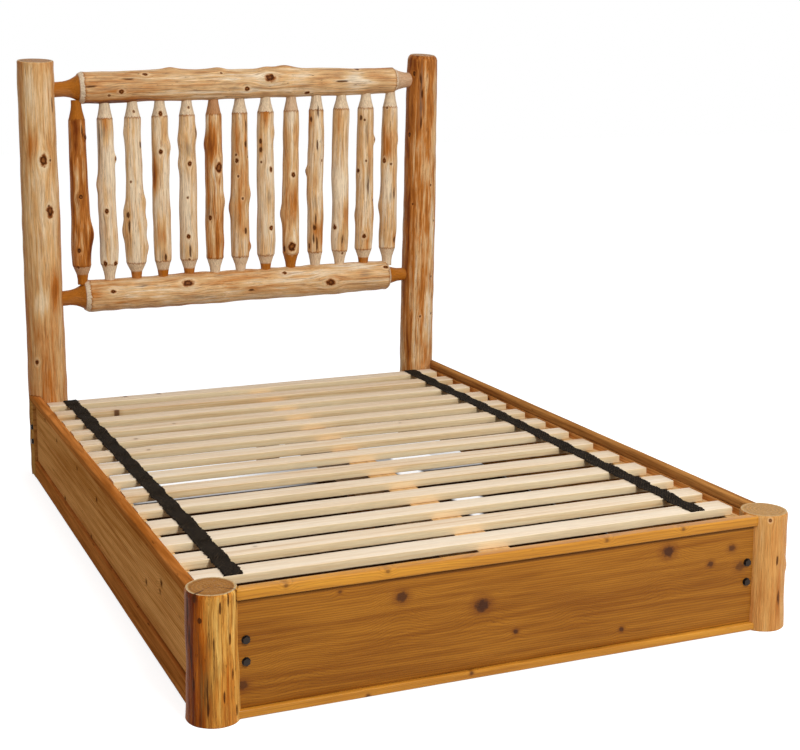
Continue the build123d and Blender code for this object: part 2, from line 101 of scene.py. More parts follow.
def addNode(tree, kind, inputs=None, stops=None, **settings):
    # one node with its settings, a ramp's stops, and its sockets: values, hex colours or links
    # a kind that names no family of nodes is a shader's
    node = tree.nodes.new(kind if "Node" in kind else "ShaderNode" + kind)
    for key, value in settings.items():
        setattr(node, key, value)
    if stops:
        elements = node.color_ramp.elements
        while len(elements) < len(stops):
            elements.new(0.5)
        for element, (place, colour) in zip(elements, stops):
            element.position = place
            element.color = linear(colour) if isinstance(colour, str) else [colour] * 3 + [1]
    for key, value in (inputs or {}).items():
        if isinstance(key, int):
            socket = node.inputs[key]
        else:
            socket = next(s for s in node.inputs if s.enabled and s.name == key)
        if isinstance(value, bpy.types.Node):
            value = next(s for s in value.outputs if s.enabled)
        if isinstance(value, bpy.types.NodeSocket):
            tree.links.new(value, socket)
        else:
            isHex = isinstance(value, str) and value.startswith("#")
            socket.default_value = linear(value) if isHex else value
    return node


def newMaterial(name):
    material = bpy.data.materials.new(name)
    material.use_nodes = True
    material.node_tree.nodes.clear()
    return material, partial(addNode, material.node_tree)


def attribute(add, name, output="Fac"):
    return add("Attribute", attribute_name=name).outputs[output]


def streaks(add, place, across, along, detail=3, shift=0.0, roughness=0.55):
    # noise drawn out along the grain, whose axis is the third one: sizes in millimetres
    drawn = add("Mapping", {
        "Vector": place, "Location": (shift, shift * 0.7, shift * 1.3),
        "Scale": (1000 / across, 1000 / across, 1000 / along),
    })
    return add("TexNoise", {
        "Vector": drawn, "Scale": 1.0, "Detail": detail, "Roughness": roughness,
    }).outputs["Fac"]


def swing(add, value, amount, around=0.0):
    # (value - 0.5) * amount + around
    centred = add("Math", {0: value, 1: 0.5}, operation="SUBTRACT")
    return add("Math", {0: centred, 1: amount, 2: around}, operation="MULTIPLY_ADD")


def paint(add, under, *coats, blend="MIX"):
    # coats laid one over another, each with its cover and its colour
    for cover, colour in coats:
        under = add("Mix", {"Factor": cover, "A": under, "B": colour},
                    data_type="RGBA", blend_type=blend)
    return under


def shadeFibres(add, wood, fibre, low, high, dim, bright):
    shade = add("MapRange", {
        "Value": fibre, "From Min": low, "From Max": high, "To Min": dim, "To Max": bright,
    })
    return paint(add, wood, (1.0, shade), blend="MULTIPLY")


def seenByEye(add):
    # what the camera sees, straight, mirrored or through glass
    paths = add("LightPath").outputs
    seen = paths["Is Camera Ray"]
    for other in ("Is Glossy Ray", "Is Transmission Ray"):
        seen = add("Math", {0: seen, 1: paths[other]}, operation="MAXIMUM")
    return seen


def finishSurface(add, colour, height, depth, roughness, **sockets):
    bump = add("Bump", {"Height": height, "Strength": 1.0, "Distance": depth})
    inputs = {"Base Color": colour, "Roughness": roughness, "Normal": bump}
    inputs.update({key.replace("_", " "): value for key, value in sockets.items()})
    surface = add("BsdfPrincipled", inputs)
    add("OutputMaterial", {"Surface": surface})


peeledLook = {
    "wood": [(0.0, "#F8E3C4"), (0.25, "#E6BB86"), (0.56, "#C67C38"), (1.0, "#77360F")],
    "amber": "#F0CC78",
    "line": "#99561D",
    "fleck": "#4A240C",
    "weathered": "#93806A",
    "knot": [(0.0, "#94592A"), (0.17, "#6B3B19"), (0.28, "#34190A"), (0.38, "#7A431B"),
             (0.52, "#B06A29"), (0.7, "#C78B45")],
    # halo: the knots' pale lid, partly a painted highlight
    "halo": "#E8CFA6",
    "cream": "#F2DCBC",
    "soaked": "#B86F24",
    "heart": "#A66C2A",
    "young": "#D6A868",
    "sapwood": "#D8B47E",
    "streak": (15, 260),  # width and length in millimetres
    "hair": (4.5, 120),
    "cutGrain": (3.2, 45),
    "fibre": (3.0, 60),
    "patch": (48, 170),
    "fleckSize": (5, 34),
    "ringGap": 5.0,
    "sheen": 0.03,
}


def peeledCedar():
    # drawknife-peeled white cedar logs under satin varnish: pale sapwood with amber cambium
    # streaks left on, dark knots, cream where a tool has cut through to clean wood
    material, add = newMaterial("varnishedPeeledCedar")
    look = peeledLook
    place = attribute(add, "grain", "Vector")
    busy = attribute(add, "streak")
    streak = streaks(add, place, *look["streak"], detail=5, roughness=0.62)
    hair = streaks(add, place, *look["hair"], detail=4, shift=5.3, roughness=0.68)
    fibre = streaks(add, place, *look["fibre"], detail=3, shift=3.1, roughness=0.7)
    patch = streaks(add, place, *look["patch"], detail=3, shift=11.3, roughness=0.6)
    fleck = streaks(add, place, *look["fleckSize"], detail=4, shift=7.7, roughness=0.68)
    crumb = streaks(add, place, 8, 13, detail=3, shift=17.1, roughness=0.6)
    wide = swing(add, streak, 1.7, swing(add, patch, 0.85).outputs[0])
    tone = add("Math", {0: wide, 1: busy, 2: attribute(add, "tone")}, operation="MULTIPLY_ADD")
    wood = add("ValToRGB", {"Fac": tone}, stops=look["wood"])
    thin = add("MapRange", {"Value": hair, "From Min": 0.52, "From Max": 0.63, "To Max": 0.62})
    thin = add("Math", {0: thin, 1: busy}, operation="MULTIPLY", use_clamp=True)
    spots = add("MapRange", {"Value": fleck, "From Min": 0.62, "From Max": 0.7, "To Max": 0.85})
    spots = add("Math", {0: spots, 1: attribute(add, "fleck")}, operation="MULTIPLY",
                use_clamp=True)
    grey = swing(add, hair, 2.2, swing(add, streak, 1.6, attribute(add, "weather")).outputs[0])
    grey = add("MapRange", {"Value": grey, "From Min": 0.35, "From Max": 1.1, "To Max": 0.75})
    wood = paint(add, wood, (thin, look["line"]), (spots, look["fleck"]), (grey, look["weathered"]))
    # cut wood: cream, or orange where the varnish soaked in
    soak = swing(add, patch, 0.5, attribute(add, "soaked"))
    soak = add("Math", {0: soak, 1: 1.0}, operation="MULTIPLY", use_clamp=True)
    cutGrain = streaks(add, place, *look["cutGrain"], detail=4, shift=23.9, roughness=0.7)
    cutGrain = add("MapRange", {"Value": cutGrain, "From Min": 0.46,
                                          "From Max": 0.64, "To Max": 0.34})
    clean = paint(add, look["cream"], (soak, look["soaked"]), (cutGrain, look["line"]))
    pared = swing(add, fleck, 24, attribute(add, "pared"))
    lip = add("MapRange", {"Value": pared, "From Min": -8, "From Max": -1, "To Max": 0.8})
    cut = add("MapRange", {"Value": pared, "From Min": -0.8, "From Max": 0.8})
    wood = paint(add, wood, (lip, look["line"]), (cut, clean))
    aged = paint(add, wood, (1.0, look["amber"]), blend="MULTIPLY")
    wood = paint(add, wood, (attribute(add, "amber"), aged))
    # end grain: growth rings in a reddish heart inside a thin pale rim
    rim = attribute(add, "rim")
    rings = add("Math", {0: rim, 1: 62 / look["ringGap"], 2: swing(add, patch, 2.5)},
                operation="MULTIPLY_ADD")
    rings = add("Math", {0: rings, 1: 1.0}, operation="PINGPONG")
    disc = add("ValToRGB", {"Fac": swing(add, crumb, 0.08, rim)}, stops=[
        (0.0, look["heart"]), (0.5, "#B47B38"), (0.88, look["heart"]),
        (0.94, look["sapwood"]), (1.0, "#E6CDA0"),
    ])
    disc = paint(add, look["young"], (attribute(add, "heart"), disc))
    rings = add("MapRange", {"Value": rings, "To Min": 0.8, "To Max": 1.06})
    disc = paint(add, disc, (1.0, rings), blend="MULTIPLY")
    wood = paint(add, wood, (attribute(add, "end"), disc))
    wood = shadeFibres(add, wood, fibre, 0.34, 0.64, 0.78, 1.08)
    # dark resin streaks and checks, broken up along the grain
    dark = swing(add, hair, 1.6, attribute(add, "mark"))
    dark = add("MapRange", {"Value": dark, "From Min": 0.4, "From Max": 0.62, "To Max": 0.88})
    # knots: brown heart, near-black bark ring, orange collar and a pale lid, partly bent grain and
    # partly a painted highlight of varnish on the knot's mound
    reach = swing(add, crumb, 1.5, attribute(add, "reach"))
    strength = attribute(add, "knot")
    lid = add("MapRange", {"Value": reach, "From Min": 2.3, "From Max": 1.2,
                                     "To Max": 0.5}, interpolation_type="SMOOTHSTEP")
    pale = add("MapRange", {"Value": attribute(add, "tone"), "From Min": 0.5, "From Max": 0.2})
    lid = add("Math", {0: lid, 1: pale}, operation="MULTIPLY")
    lid = add("Math", {0: lid, 1: strength}, operation="MULTIPLY")
    inner = add("MapRange", {"Value": reach, "From Max": 2.2})
    knot = add("ValToRGB", {"Fac": inner}, stops=look["knot"])
    core = add("MapRange", {"Value": reach, "From Min": 1.4, "From Max": 0.9})
    core = add("Math", {0: core, 1: strength}, operation="MULTIPLY", use_clamp=True)
    wood = paint(add, wood, (dark, look["fleck"]), (lid, look["halo"]), (core, knot))
    relief = add("Math", {0: streak, 1: 2.2, 2: fibre}, operation="MULTIPLY_ADD")
    relief = add("Math", {0: core, 1: -0.5, 2: relief}, operation="MULTIPLY_ADD")
    finishSurface(add, wood, relief, 0.0026, 0.33, Specular_IOR_Level=look["sheen"])
    return material


# what a mark on a log does: swell, reach along and across, knot, dark mark, tone, grey
markKinds = {
    "knot": (2.2, 9.5, 7, 1.0, 0, -0.05, 0),
    "small": (0.5, 5, 4.2, 0.9, 0, 0, 0),
    "bump": (6.5, 17, 14, 0, 0, 0.06, 0),
    "swell": (13, 26, 20, 0, 0, 0.08, 0),
    "stub": (8, 9, 8, 0.9, 0, 0.1, 0),
    "streak": (0, 30, 4.5, 0, 0.95, 0.06, 0),
    "dark": (-1.0, 13, 7, 0, 1.1, 0.2, 0),
    "orange": (0, 30, 8, 0, 0, 0.4, 0),
    "pale": (0.6, 24, 13, 0, 0, -0.4, 0),
    "grey": (0, 24, 11, 0, 0.3, 0, 0.75),
    "greyLine": (0, 70, 8, 0, 0.45, 0.05, 0.9),
    "eye": (4.5, 19, 12.5, 1.0, 0, -0.12, 0.1),
    "pin": (-0.6, 6.5, 4.8, 0, 1.9, 0.1, 0),
    "crack": (-1.2, 15, 2.6, 0, 1.5, 0.1, 0),
    "longCrack": (-1.2, 30, 3.0, 0, 1.5, 0.15, 0),
}


def joinRows(name, rows, fields, flip):
    # rows[i, j]: points round a section, joined along i; both ends close to their middle
    rings, around = rows.shape[:2]
    i, j = np.meshgrid(np.arange(rings - 1), np.arange(around), indexing="ij")
    a, b = i * around + j, i * around + (j + 1) % around
    quads = np.stack([a, b, b + around, a + around], -1).reshape(-1, 4)
    faces = quads.tolist()
    points = [rows.reshape(-1, 3)]
    ends = (0, rings - 1)
    for number, ring in enumerate(ends):
        points.append(rows[ring].mean(0)[None])
        middle = rings * around + number
        for n in range(around):
            pair = [ring * around + n, ring * around + (n + 1) % around]
            faces.append([middle] + (pair if ring else pair[::-1]))
    if flip:
        faces = [face[::-1] for face in faces]
    mesh = bpy.data.meshes.new(name)
    mesh.from_pydata(np.concatenate(points).tolist(), [], faces)
    for key, values in fields.items():
        flat = np.broadcast_to(values, rows.shape[:2] + values.shape[2:])
        flat = flat.reshape(rings, around, -1)
        middles = [flat[ring].mean(0)[None] for ring in ends]
        flat = np.concatenate([flat.reshape(rings * around, -1)] + middles)
        isVector = flat.shape[1] == 3
        layer = mesh.attributes.new(key, "FLOAT_VECTOR" if isVector else "FLOAT", "POINT")
        layer.data.foreach_set("vector" if isVector else "value", flat.ravel())
    mesh.polygons.foreach_set("use_smooth", [True] * len(mesh.polygons))
    mesh.update()
    return intoScene(name, mesh)


def ease(low, high, x):
    t = np.clip((x - low) / (high - low), 0, 1)
    return t * t * (3 - 2 * t)


# lobes round the log, their height as a share of its radius, the shortest run of one twist
logWaves = ((1, 0.02, 420), (2, 0.018, 500), (3, 0.012, 300), (5, 0.007, 200),
            (8, 0.005, 120), (13, 0.003, 90))
sawnTopRings = (0.995, 0.93, 0.84, 0.72, 0.58, 0.42, 0.26, 0.1)  # shares of the radius


def makeLog(name, log, material):
    # a swept circle with ovality, wander, drawknife waves, knots and swellings
    rng = np.random.default_rng(log["seed"])
    start, end = np.array(log["start"], float), np.array(log["end"], float)
    along = (end - start) / np.linalg.norm(end - start)
    front = np.array((0, -1.0, 0))
    side = np.array((0, 0, 1.0)) if abs(along[0]) > 0.5 else np.array((1.0, 0, 0))
    side -= side.dot(along) * along
    side /= np.linalg.norm(side)
    stations, radii = zip(*log["outline"])
    t = np.unique(np.round(np.concatenate([
        np.arange(stations[0], stations[-1], log["step"]), stations, log.get("rings", []),
    ]), 3))
    share = np.ones_like(t)
    if log.get("caps"):  # rings across the sawn top
        t = np.concatenate([t, np.full(len(sawnTopRings), t[-1])])
        share = np.concatenate([share, sawnTopRings])
    theta = np.radians(np.arange(log["sides"]) * 360.0 / log["sides"])
    up, turn = np.meshgrid(t, theta, indexing="ij")
    radius = np.interp(up, stations, radii)
    low, high = log["barrel"]
    rough = 0.12 + 0.88 * ease(low - 10, low + 14, up) * (1 - ease(high - 14, high + 10, up))
    rough = rough * log.get("rough", 1.0)
    wave = np.zeros_like(up)
    for lobes, size, run in logWaves:
        for n in range(2):
            twist = rng.uniform(-1, 1) * 2 * math.pi / run
            wave += size / 1.4 * np.cos(lobes * turn + twist * up + rng.uniform(0, 6.3))
    for n in range(6):
        twist = 2 * math.pi / rng.uniform(70, 300)
        wave += 0.008 * np.cos(rng.integers(0, 3) * turn + twist * up + rng.uniform(0, 6.3))
    radius = radius * (1 + wave * rough)
    knot, dark, bend = (np.zeros_like(up) for n in range(3))
    grey = np.full_like(up, log.get("weather", 0.0))
    reach = np.full_like(up, 9.0)
    tone = np.interp(up, *zip(*log["tone"]))
    for height, angle, kind in log.get("marks", ()):
        swell, reachUp, reachAcross, core, darkness, change, greyness = markKinds[kind]
        away = (turn - math.radians(angle) + math.pi) % (2 * math.pi) - math.pi
        u, a = (up - height) / reachUp, away * np.interp(height, stations, radii) / reachAcross
        near = np.exp(-(u / 1.7) ** 2 - (a / 1.5) ** 2)
        distance = np.sqrt(u ** 2 + a ** 2)
        radius = radius + (swell * near - 0.9 * bool(core) * np.exp(-(distance / 0.8) ** 4)
                           ) * min(rough.max(), 1)
        if core:
            knot = np.where(distance < reach, core, knot)
            reach = np.minimum(reach, distance)
            bend -= 0.7 * away * np.exp(-(u / 2.6) ** 2 - (a / 2.6) ** 2)
        dark = np.maximum(dark, darkness * np.exp(-distance ** 2))
        tone = tone + change * np.exp(-(distance / 2.0) ** 2)
        grey = np.maximum(grey, greyness * np.exp(-(distance / 1.4) ** 2))
    # painted shade, with some painted light: tone raised or lowered by angle round the log, so that
    # sides turned from the lamps look darker
    for height, angle, reachUp, reachAcross, change in log.get("shades", ()):
        away = (turn - math.radians(angle) + math.pi) % (2 * math.pi) - math.pi
        tone = tone + change * np.exp(
            -((up - height) / reachUp) ** 2 - (np.degrees(away) / reachAcross) ** 2)
    radius = radius * share[:, None]
    middleLine = np.zeros((len(t), 2))
    for n in range(3):
        swingSize = log.get("wander", 0.0) * rng.uniform(0.4, 1, 2) / (n + 1)
        phase = rng.uniform(0, 6.3, 2)
        middleLine += swingSize * np.sin(
            2 * math.pi * t[:, None] * (n + 1) / (stations[-1] - stations[0]) + phase)
    middleLine *= (ease(low, low + 80, t) * (1 - ease(high - 80, high, t)))[:, None]
    if "line" in log:  # the axis moves off the straight line, as at a tenon
        middleLine[:, 0] += np.interp(t, *zip(*log["line"]))
    fx = radius * np.sin(turn) + middleLine[:, :1]
    fy = radius * np.cos(turn) + middleLine[:, 1:]
    rows = start + (up[..., None] * along + fx[..., None] * side + fy[..., None] * front) / 1000
    if "trim" in log:
        rows = log["trim"](rows)
    sampled = turn + bend
    grain = np.stack([radius * np.sin(sampled), radius * np.cos(sampled), up], -1) / 1000
    pared = np.maximum(low - up, up - high)
    fields = {
        "grain": grain + rng.uniform(-5, 5, 3), "tone": tone, "knot": knot, "reach": reach,
        "mark": dark, "weather": grey, "pared": pared,
        "soaked": np.interp(up, *zip(*log.get("soaked", [(0, 0)]))),
        "amber": np.full_like(up, log.get("amber", 0.0)),
        "heart": np.full_like(up, log.get("heart", 1.0)),
        "fleck": np.full_like(up, log.get("fleck", 0.35)),
        "streak": np.full_like(up, log.get("streak", 1.0)),
        "end": np.broadcast_to((share < 1)[:, None] * 1.0, up.shape),
        "rim": np.broadcast_to(share[:, None], up.shape),
    }
    flip = np.cross(side, along).dot(front) < 0
    piece = joinRows(name, rows, fields, flip)
    piece.data.materials.append(material)
    return piece


def settle(piece, body, slotName, *replaced):
    if replaced:
        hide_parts(*replaced)
    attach(piece, body)


cedarLogs = peeledCedar()

headPosts = {
    "left": {
        "base": (-0.738, 1.066, 0), "top": (-0.738, 1.066, 1.503), "barrel": (-60, 1600),
        "outline": [(0, 70), (300, 69), (900, 67), (1300, 64.8), (1498, 63.9), (1501.5, 62.6),
                    (1503, 60.5)],
        "tone": [(0, 0.38), (500, 0.31), (1000, 0.2), (1400, 0.18), (1492, 0.26)],
        "shades": [(700, -75, 1200, 22, 0.25), (700, 85, 1200, 25, 0.18)],
        "marks": [(1150, 4, "eye"), (968, 19, "eye"), (1343, 46, "streak"), (1149, 28, "small"),
                  (990, 16, "small"), (1210, -30, "orange"), (700, 30, "orange"),
                  (640, -20, "pale"), (430, -40, "knot")],
        "seed": 11, "fleck": 0.35, "streak": 0.65, "rough": 0.45, "amber": 0.3,
    },
    "right": {
        "base": (0.728, 1.066, 0), "top": (0.7542, 1.066, 1.516), "barrel": (-60, 1600),
        "outline": [(0, 66), (300, 64.6), (900, 62.3), (1400, 59.4), (1494, 58.2), (1504, 55.5),
                    (1511, 51.5), (1515, 47), (1516, 44)],
        "tone": [(0, 0.44), (500, 0.36), (900, 0.42), (1250, 0.59), (1503, 0.66)],
        "shades": [(700, -70, 1300, 24, 0.25), (1200, 40, 500, 25, -0.12),
                   (700, 80, 1300, 22, 0.25)],
        "marks": [(1437, -55, "knot"), (1203, -71, "knot"), (871, 41, "small"),
                  (651, 31, "small"), (503, 37, "small"), (1010, 19, "small"),
                  (936, -49, "small"), (494, -13, "small"), (1400, -27, "greyLine"),
                  (1310, -27, "greyLine"), (1250, -25, "streak"), (1360, -22, "streak"),
                  (1420, -30, "streak")],
        "seed": 12, "fleck": 0.9, "streak": 1.15, "rough": 0.45,
    },
}


postCut = {
    "slope": 0.118,  # of the sawn top, over the topmost "over" of the log
    "over": 0.06,
    "flat": 0.774,  # where the side rail lies against the log, and how far up and back
    "below": 0.3042,
    "before": 1.0782,
}


def cutForRail(side, height):
    # the top is sawn sloping to the front; below the rail's top, the log is cut back to it
    def trim(rows):
        x, y, z = (rows[..., n] for n in range(3))
        share = np.clip((z - height + postCut["over"]) / postCut["over"], 0, 1)
        z -= share * postCut["slope"] * (y.max() - y)
        flat = postCut["flat"]
        out = (z < postCut["below"]) & (y < postCut["before"]) & (side * x > flat)
        x[:] = np.where(out, side * flat, x)
        return rows
    return trim


for hand, side in (("left", -1), ("right", 1)):
    post = dict(headPosts[hand], sides=128, step=3.8, rings=[303.9, 304.6], caps=1,
                trim=cutForRail(side, headPosts[hand]["top"][2]))
    post["start"], post["end"] = post["base"], post["top"]
    piece = makeLog("headPost" + hand.title(), post, cedarLogs)
    settle(piece, "frame", "peeled_log", "head_post_" + hand)

footPosts = {
    "left": {
        "x": -0.7585, "tone": [(0, 0.22), (150, 0.12), (315, 0.14)], "fleck": 1.0,
        "streak": 0.95, "seed": 21, "amber": 0.95, "weather": 0.32,
        "marks": [(240, -22, "greyLine"), (190, -14, "greyLine"), (130, -20, "greyLine"),
                  (80, -28, "greyLine"), (150, -5, "grey"), (300, 21, "crack"),
                  (297, 52, "longCrack"), (256, -42, "pin"), (306, -55, "dark"),
                  (164, -67, "longCrack"), (47, -27, "crack"), (72, 7, "crack"),
                  (273, -78, "longCrack"), (120, 30, "crack"), (205, 26, "crack"),
                  (285, 2, "crack"), (225, 60, "longCrack"), (100, -60, "streak"),
                  (215, -72, "streak"), (30, 40, "crack")],
        "shades": [(150, -60, 400, 27, 0.8), (150, -95, 400, 30, 0.4), (120, 14, 110, 13, 0.22)],
    },
    "right": {
        "x": 0.7585, "tone": [(0, 0.32), (315, 0.28)], "fleck": 0.2, "streak": 0.4,
        "marks": [(305, -22, "small"), (168, 51, "stub"), (194, 1, "crack"),
                  (90, 10, "streak"), (250, 45, "streak")],
        "shades": [(150, -80, 400, 30, 0.15)], "seed": 22, "amber": 0.65, "heart": 0.45,
    },
}
footShape = {
    "y": -1.071, "height": 0.315, "rough": 0.5,
    "outline": [(0, 64), (2, 65), (70, 63.2), (180, 62), (304, 62), (311, 61), (315, 58.6)],
}
for hand, post in footPosts.items():
    log = dict(post, start=(post["x"], footShape["y"], 0), sides=144, step=2.6, caps=1,
               end=(post["x"], footShape["y"], footShape["height"]), barrel=(-60, 400),
               outline=footShape["outline"], rough=footShape["rough"])
    piece = makeLog("footPost" + hand.title(), log, cedarLogs)
    settle(piece, "frame", "peeled_log", "foot_post_" + hand)

headboard = {
    "y": 1.066,
    "top": {
        "ends": (-590.0, 635.0), "heights": (1398.0, 1413.0), "radii": (58.5, 49.5),
        "tenonHeights": (1393.0, 1412.0), "tenonRadii": (26.5, 28.0), "reach": (95, 80),
        "tone": [(0, 0.34), (600, 0.26), (1225, 0.3)], "seed": 31, "weather": 0.38,
        "fleck": 1.2, "streak": 0.75, "shades": [(60, -70, 260, 22, 0.7)],
        "soaked": [(-40, 1), (-1, 1), (1, 0), (1224, 0), (1228, 0.45), (1300, 0.6)],
        "marks": [(238, 49, "knot"), (145, -16, "knot"), (100, -29, "small"),
                  (35, 4, "streak"), (169, 30, "streak"), (523, 90, "bump"), (521, 47, "small"),
                  (575, -12, "grey"), (650, -20, "grey"), (338, 90, "bump"), (704, 22, "eye"),
                  (614, -17, "knot"), (853, -47, "knot"), (1060, 63, "knot"),
                  (991, 1, "streak"), (1042, 15, "pale"), (773, 90, "swell"),
                  (705, 90, "bump")],
    },
    "bottom": {
        "ends": (-593.0, 604.0), "heights": (651.0, 657.0), "radii": (59.5, 58.0),
        "tenonHeights": (646.0, 658.0), "tenonRadii": (27.0, 24.5), "reach": (95, 80),
        "tone": [(0, 0.3), (600, 0.3), (1197, 0.26)], "seed": 32, "weather": 0.15, "fleck": 0.6,
        "streak": 0.8,
        "soaked": [(-40, 1), (-1, 1), (1, 0), (1195, 0), (1199, 1), (1300, 1)],
        "marks": [(96, 17, "knot"), (208, 32, "grey"), (377, 30, "eye"), (12, 5, "orange"),
                  (338, -19, "grey"), (499, 48, "grey"), (760, 46, "knot"),
                  (938, -2, "eye"), (1175, 42, "knot"), (1039, 93, "grey"),
                  (1086, 22, "grey"), (621, -12, "dark"), (420, -22, "greyLine")],
    },
}


# how a rail's ends are turned: where each station lies past the barrel's end, and what it adds
# to the tenon's radius, then inside the end what it adds to the barrel's
tenonFlares = {
    "left": [(-54, 0.4), (-42, 2), (-30, 5), (-18, 10), (-8, 15.5), (-0.5, 19.5)],
    "leftEdge": [(0, -8), (4, -5.5), (14, -0.5)],
    "rightEdge": [(-10, -0.5), (-3, -6), (0, -9)],
    "right": [(0.5, 14), (12, 9), (26, 5), (44, 1)],
}


def alongRail(rail, key, x):
    # a value given at both ends of a rail, at the place x
    share = (x - rail["ends"][0]) / (rail["ends"][1] - rail["ends"][0])
    return rail[key][0] + share * (rail[key][1] - rail[key][0])


def turned(key, place, radius):
    return [(place + past, radius + more) for past, more in tenonFlares[key]]


for key, node in (("top", "headboard_top_rail"), ("bottom", "headboard_bottom_rail")):
    rail = headboard[key]
    left, right = rail["ends"]
    span = right - left
    y = headboard["y"]
    r0, r1 = rail["radii"]
    n0, n1 = rail["tenonRadii"]
    before, after = rail["reach"]
    log = dict(
        rail, start=(left / 1000, y, rail["heights"][0] / 1000),
        end=(right / 1000, y, rail["heights"][1] / 1000), barrel=(15, span - 7),
        outline=[(-before, n0), *turned("left", 0, n0), *turned("leftEdge", 0, r0),
                 (span * 0.35, r0 * 0.6 + r1 * 0.4 + 0.5), (span * 0.7, r0 * 0.3 + r1 * 0.7),
                 *turned("rightEdge", span, r1), *turned("right", span, n1),
                 (span + after, n1)],
        line=[(-before, rail["tenonHeights"][0] - rail["heights"][0]), (-2, 0), (0, 0),
              (span, 0), (span + 2, 0), (span + after, rail["tenonHeights"][1]
                                         - rail["heights"][1])],
        sides=128, step=3.2, rings=[-24, -12, -4, 7, 15.5],
    )
    piece = makeLog(key + "Rail", log, cedarLogs)
    settle(piece, "frame", "peeled_log", node)

# each spindle: radii at the barrel's foot, middle and top, tone, grain, cones and marks
spindles = [
    ((36, 32.5, 30), 0.66, 1.3, (1, 1.2, 0.6), [
        (573, 44, "stub"), (363, -5, "knot"), (170, -23, "knot"), (225, 78, "swell"),
        (598, 23, "streak"), (109, -36, "small"), (190, 40, "orange"), (640, -20, "orange")]),
    ((33, 31.5, 29), 0.08, 0.7, (0.1, 0, 1), [
        (494, 62, "stub"), (401, -86, "bump"), (307, -16, "knot"), (116, -39, "knot"),
        (117, 34, "knot"), (630, -6, "orange"), (583, -38, "grey"), (540, -60, "greyLine")]),
    ((39, 31, 30), 0.13, 0.7, (1, 0, 0.15), [
        (660, -1, "small"), (586, -68, "bump"), (541, 56, "dark"), (337, 76, "bump"),
        (254, 76, "bump"), (170, 76, "bump"), (121, 76, "dark"), (300, -103, "bump"),
        (230, -103, "swell"), (289, -57, "dark"), (409, -37, "small"), (250, -50, "streak")]),
    ((32.5, 31.5, 30.5), 0.12, 0.8, (1, 0, 0.15), [
        (650, -8, "knot"), (514, -11, "knot"), (419, -60, "orange"), (130, -15, "grey"),
        (128, 8, "dark"), (214, -18, "orange"), (532, 64, "bump"), (430, -65, "orange")]),
    ((34, 32, 30), 0.16, 0.7, (1, 0, 0.15), [
        (671, 4, "small"), (580, 48, "streak"), (575, 55, "bump"), (549, -73, "bump"),
        (465, -85, "bump"), (468, -2, "knot"), (343, -17, "small"), (199, -16, "knot"),
        (114, -13, "small"), (143, -7, "streak"), (520, -5, "grey"), (270, -10, "grey")]),
    ((34, 34, 29.5), 0.46, 1.2, (0, 0.8, 0), [
        (449, 16, "eye"), (275, -50, "grey"), (262, -45, "knot"), (532, -106, "bump"),
        (324, 73, "bump"), (560, -30, "orange"), (600, -70, "pale")]),
    ((35.5, 34, 30.5), 0.28, 0.9, (0.1, 0, 1), [
        (533, 24, "dark"), (493, -43, "small"), (472, -36, "knot"), (485, 42, "small"),
        (414, -28, "small"), (331, 2, "small"), (210, 19, "dark"), (147, 72, "stub"),
        (294, -107, "bump"), (346, 72, "bump"), (600, 30, "streak"), (560, -30, "orange")]),
    ((34, 33, 31), 0.12, 0.7, (1, 0, 0.15), [
        (656, -12, "orange"), (540, -49, "dark"), (508, -48, "dark"), (434, 20, "knot"),
        (215, 15, "knot"), (462, -45, "small"), (571, 71, "bump"), (330, 5, "grey")]),
    ((33, 31, 29.5), 0.34, 0.9, (1, 0.35, 1), [
        (411, 0, "knot"), (141, -11, "eye"), (261, -109, "bump"), (129, -72, "dark"),
        (648, -13, "pale"), (300, 0, "orange")]),
    ((31.5, 31.5, 28.5), 0.2, 0.9, (0.1, 0, 1), [
        (645, -7, "streak"), (616, -65, "dark"), (521, -14, "streak"), (420, -110, "stub"),
        (461, 30, "small"), (296, -26, "grey"), (236, -19, "streak"), (206, -25, "dark"),
        (142, -6, "streak"), (134, -74, "dark"), (165, -30, "streak"), (180, 30, "orange")]),
    ((33, 32.5, 31.5), 0.2, 0.7, (0.1, 0, 1), [
        (361, -62, "pale"), (352, -16, "pale"), (256, 30, "orange"), (203, -57, "knot"),
        (156, -5, "streak"), (102, 3, "small")]),
    ((35, 33.5, 31), 0.22, 0.9, (1, 0, 0.15), [
        (616, -57, "dark"), (608, -28, "small"), (533, 67, "stub"), (413, -72, "knot"),
        (454, -14, "small"), (243, -112, "bump"), (165, -19, "knot"), (302, 45, "small"),
        (560, -10, "greyLine"), (360, 0, "greyLine")]),
    ((34.5, 32.5, 29.5), 0.18, 0.8, (0.1, 0, 1), [
        (652, -45, "small"), (451, -57, "knot"), (438, -8, "small"), (531, 40, "bump"),
        (322, 19, "streak"), (272, -113, "bump"), (316, -9, "grey"), (144, 30, "dark"),
        (500, -30, "orange")]),
]
spindleShape = {
    "inset": {"top": (-8.0, 15.0), "bottom": (-3.0, 0.0)},
    "tenon": 18.5, "cone": 50.0, "rough": 1.25, "wander": 1.6, "amber": 0.1,
}


def spindlePlace(index, key):
    rail = headboard[key]
    inset = spindleShape["inset"][key]
    first, last = rail["ends"][0] + inset[0], rail["ends"][1] - inset[1]
    x = first + index * (last - first) / (len(spindles) - 1)
    return np.array((x, headboard["y"] * 1000, alongRail(rail, "heights", x))), (
        alongRail(rail, "radii", x))


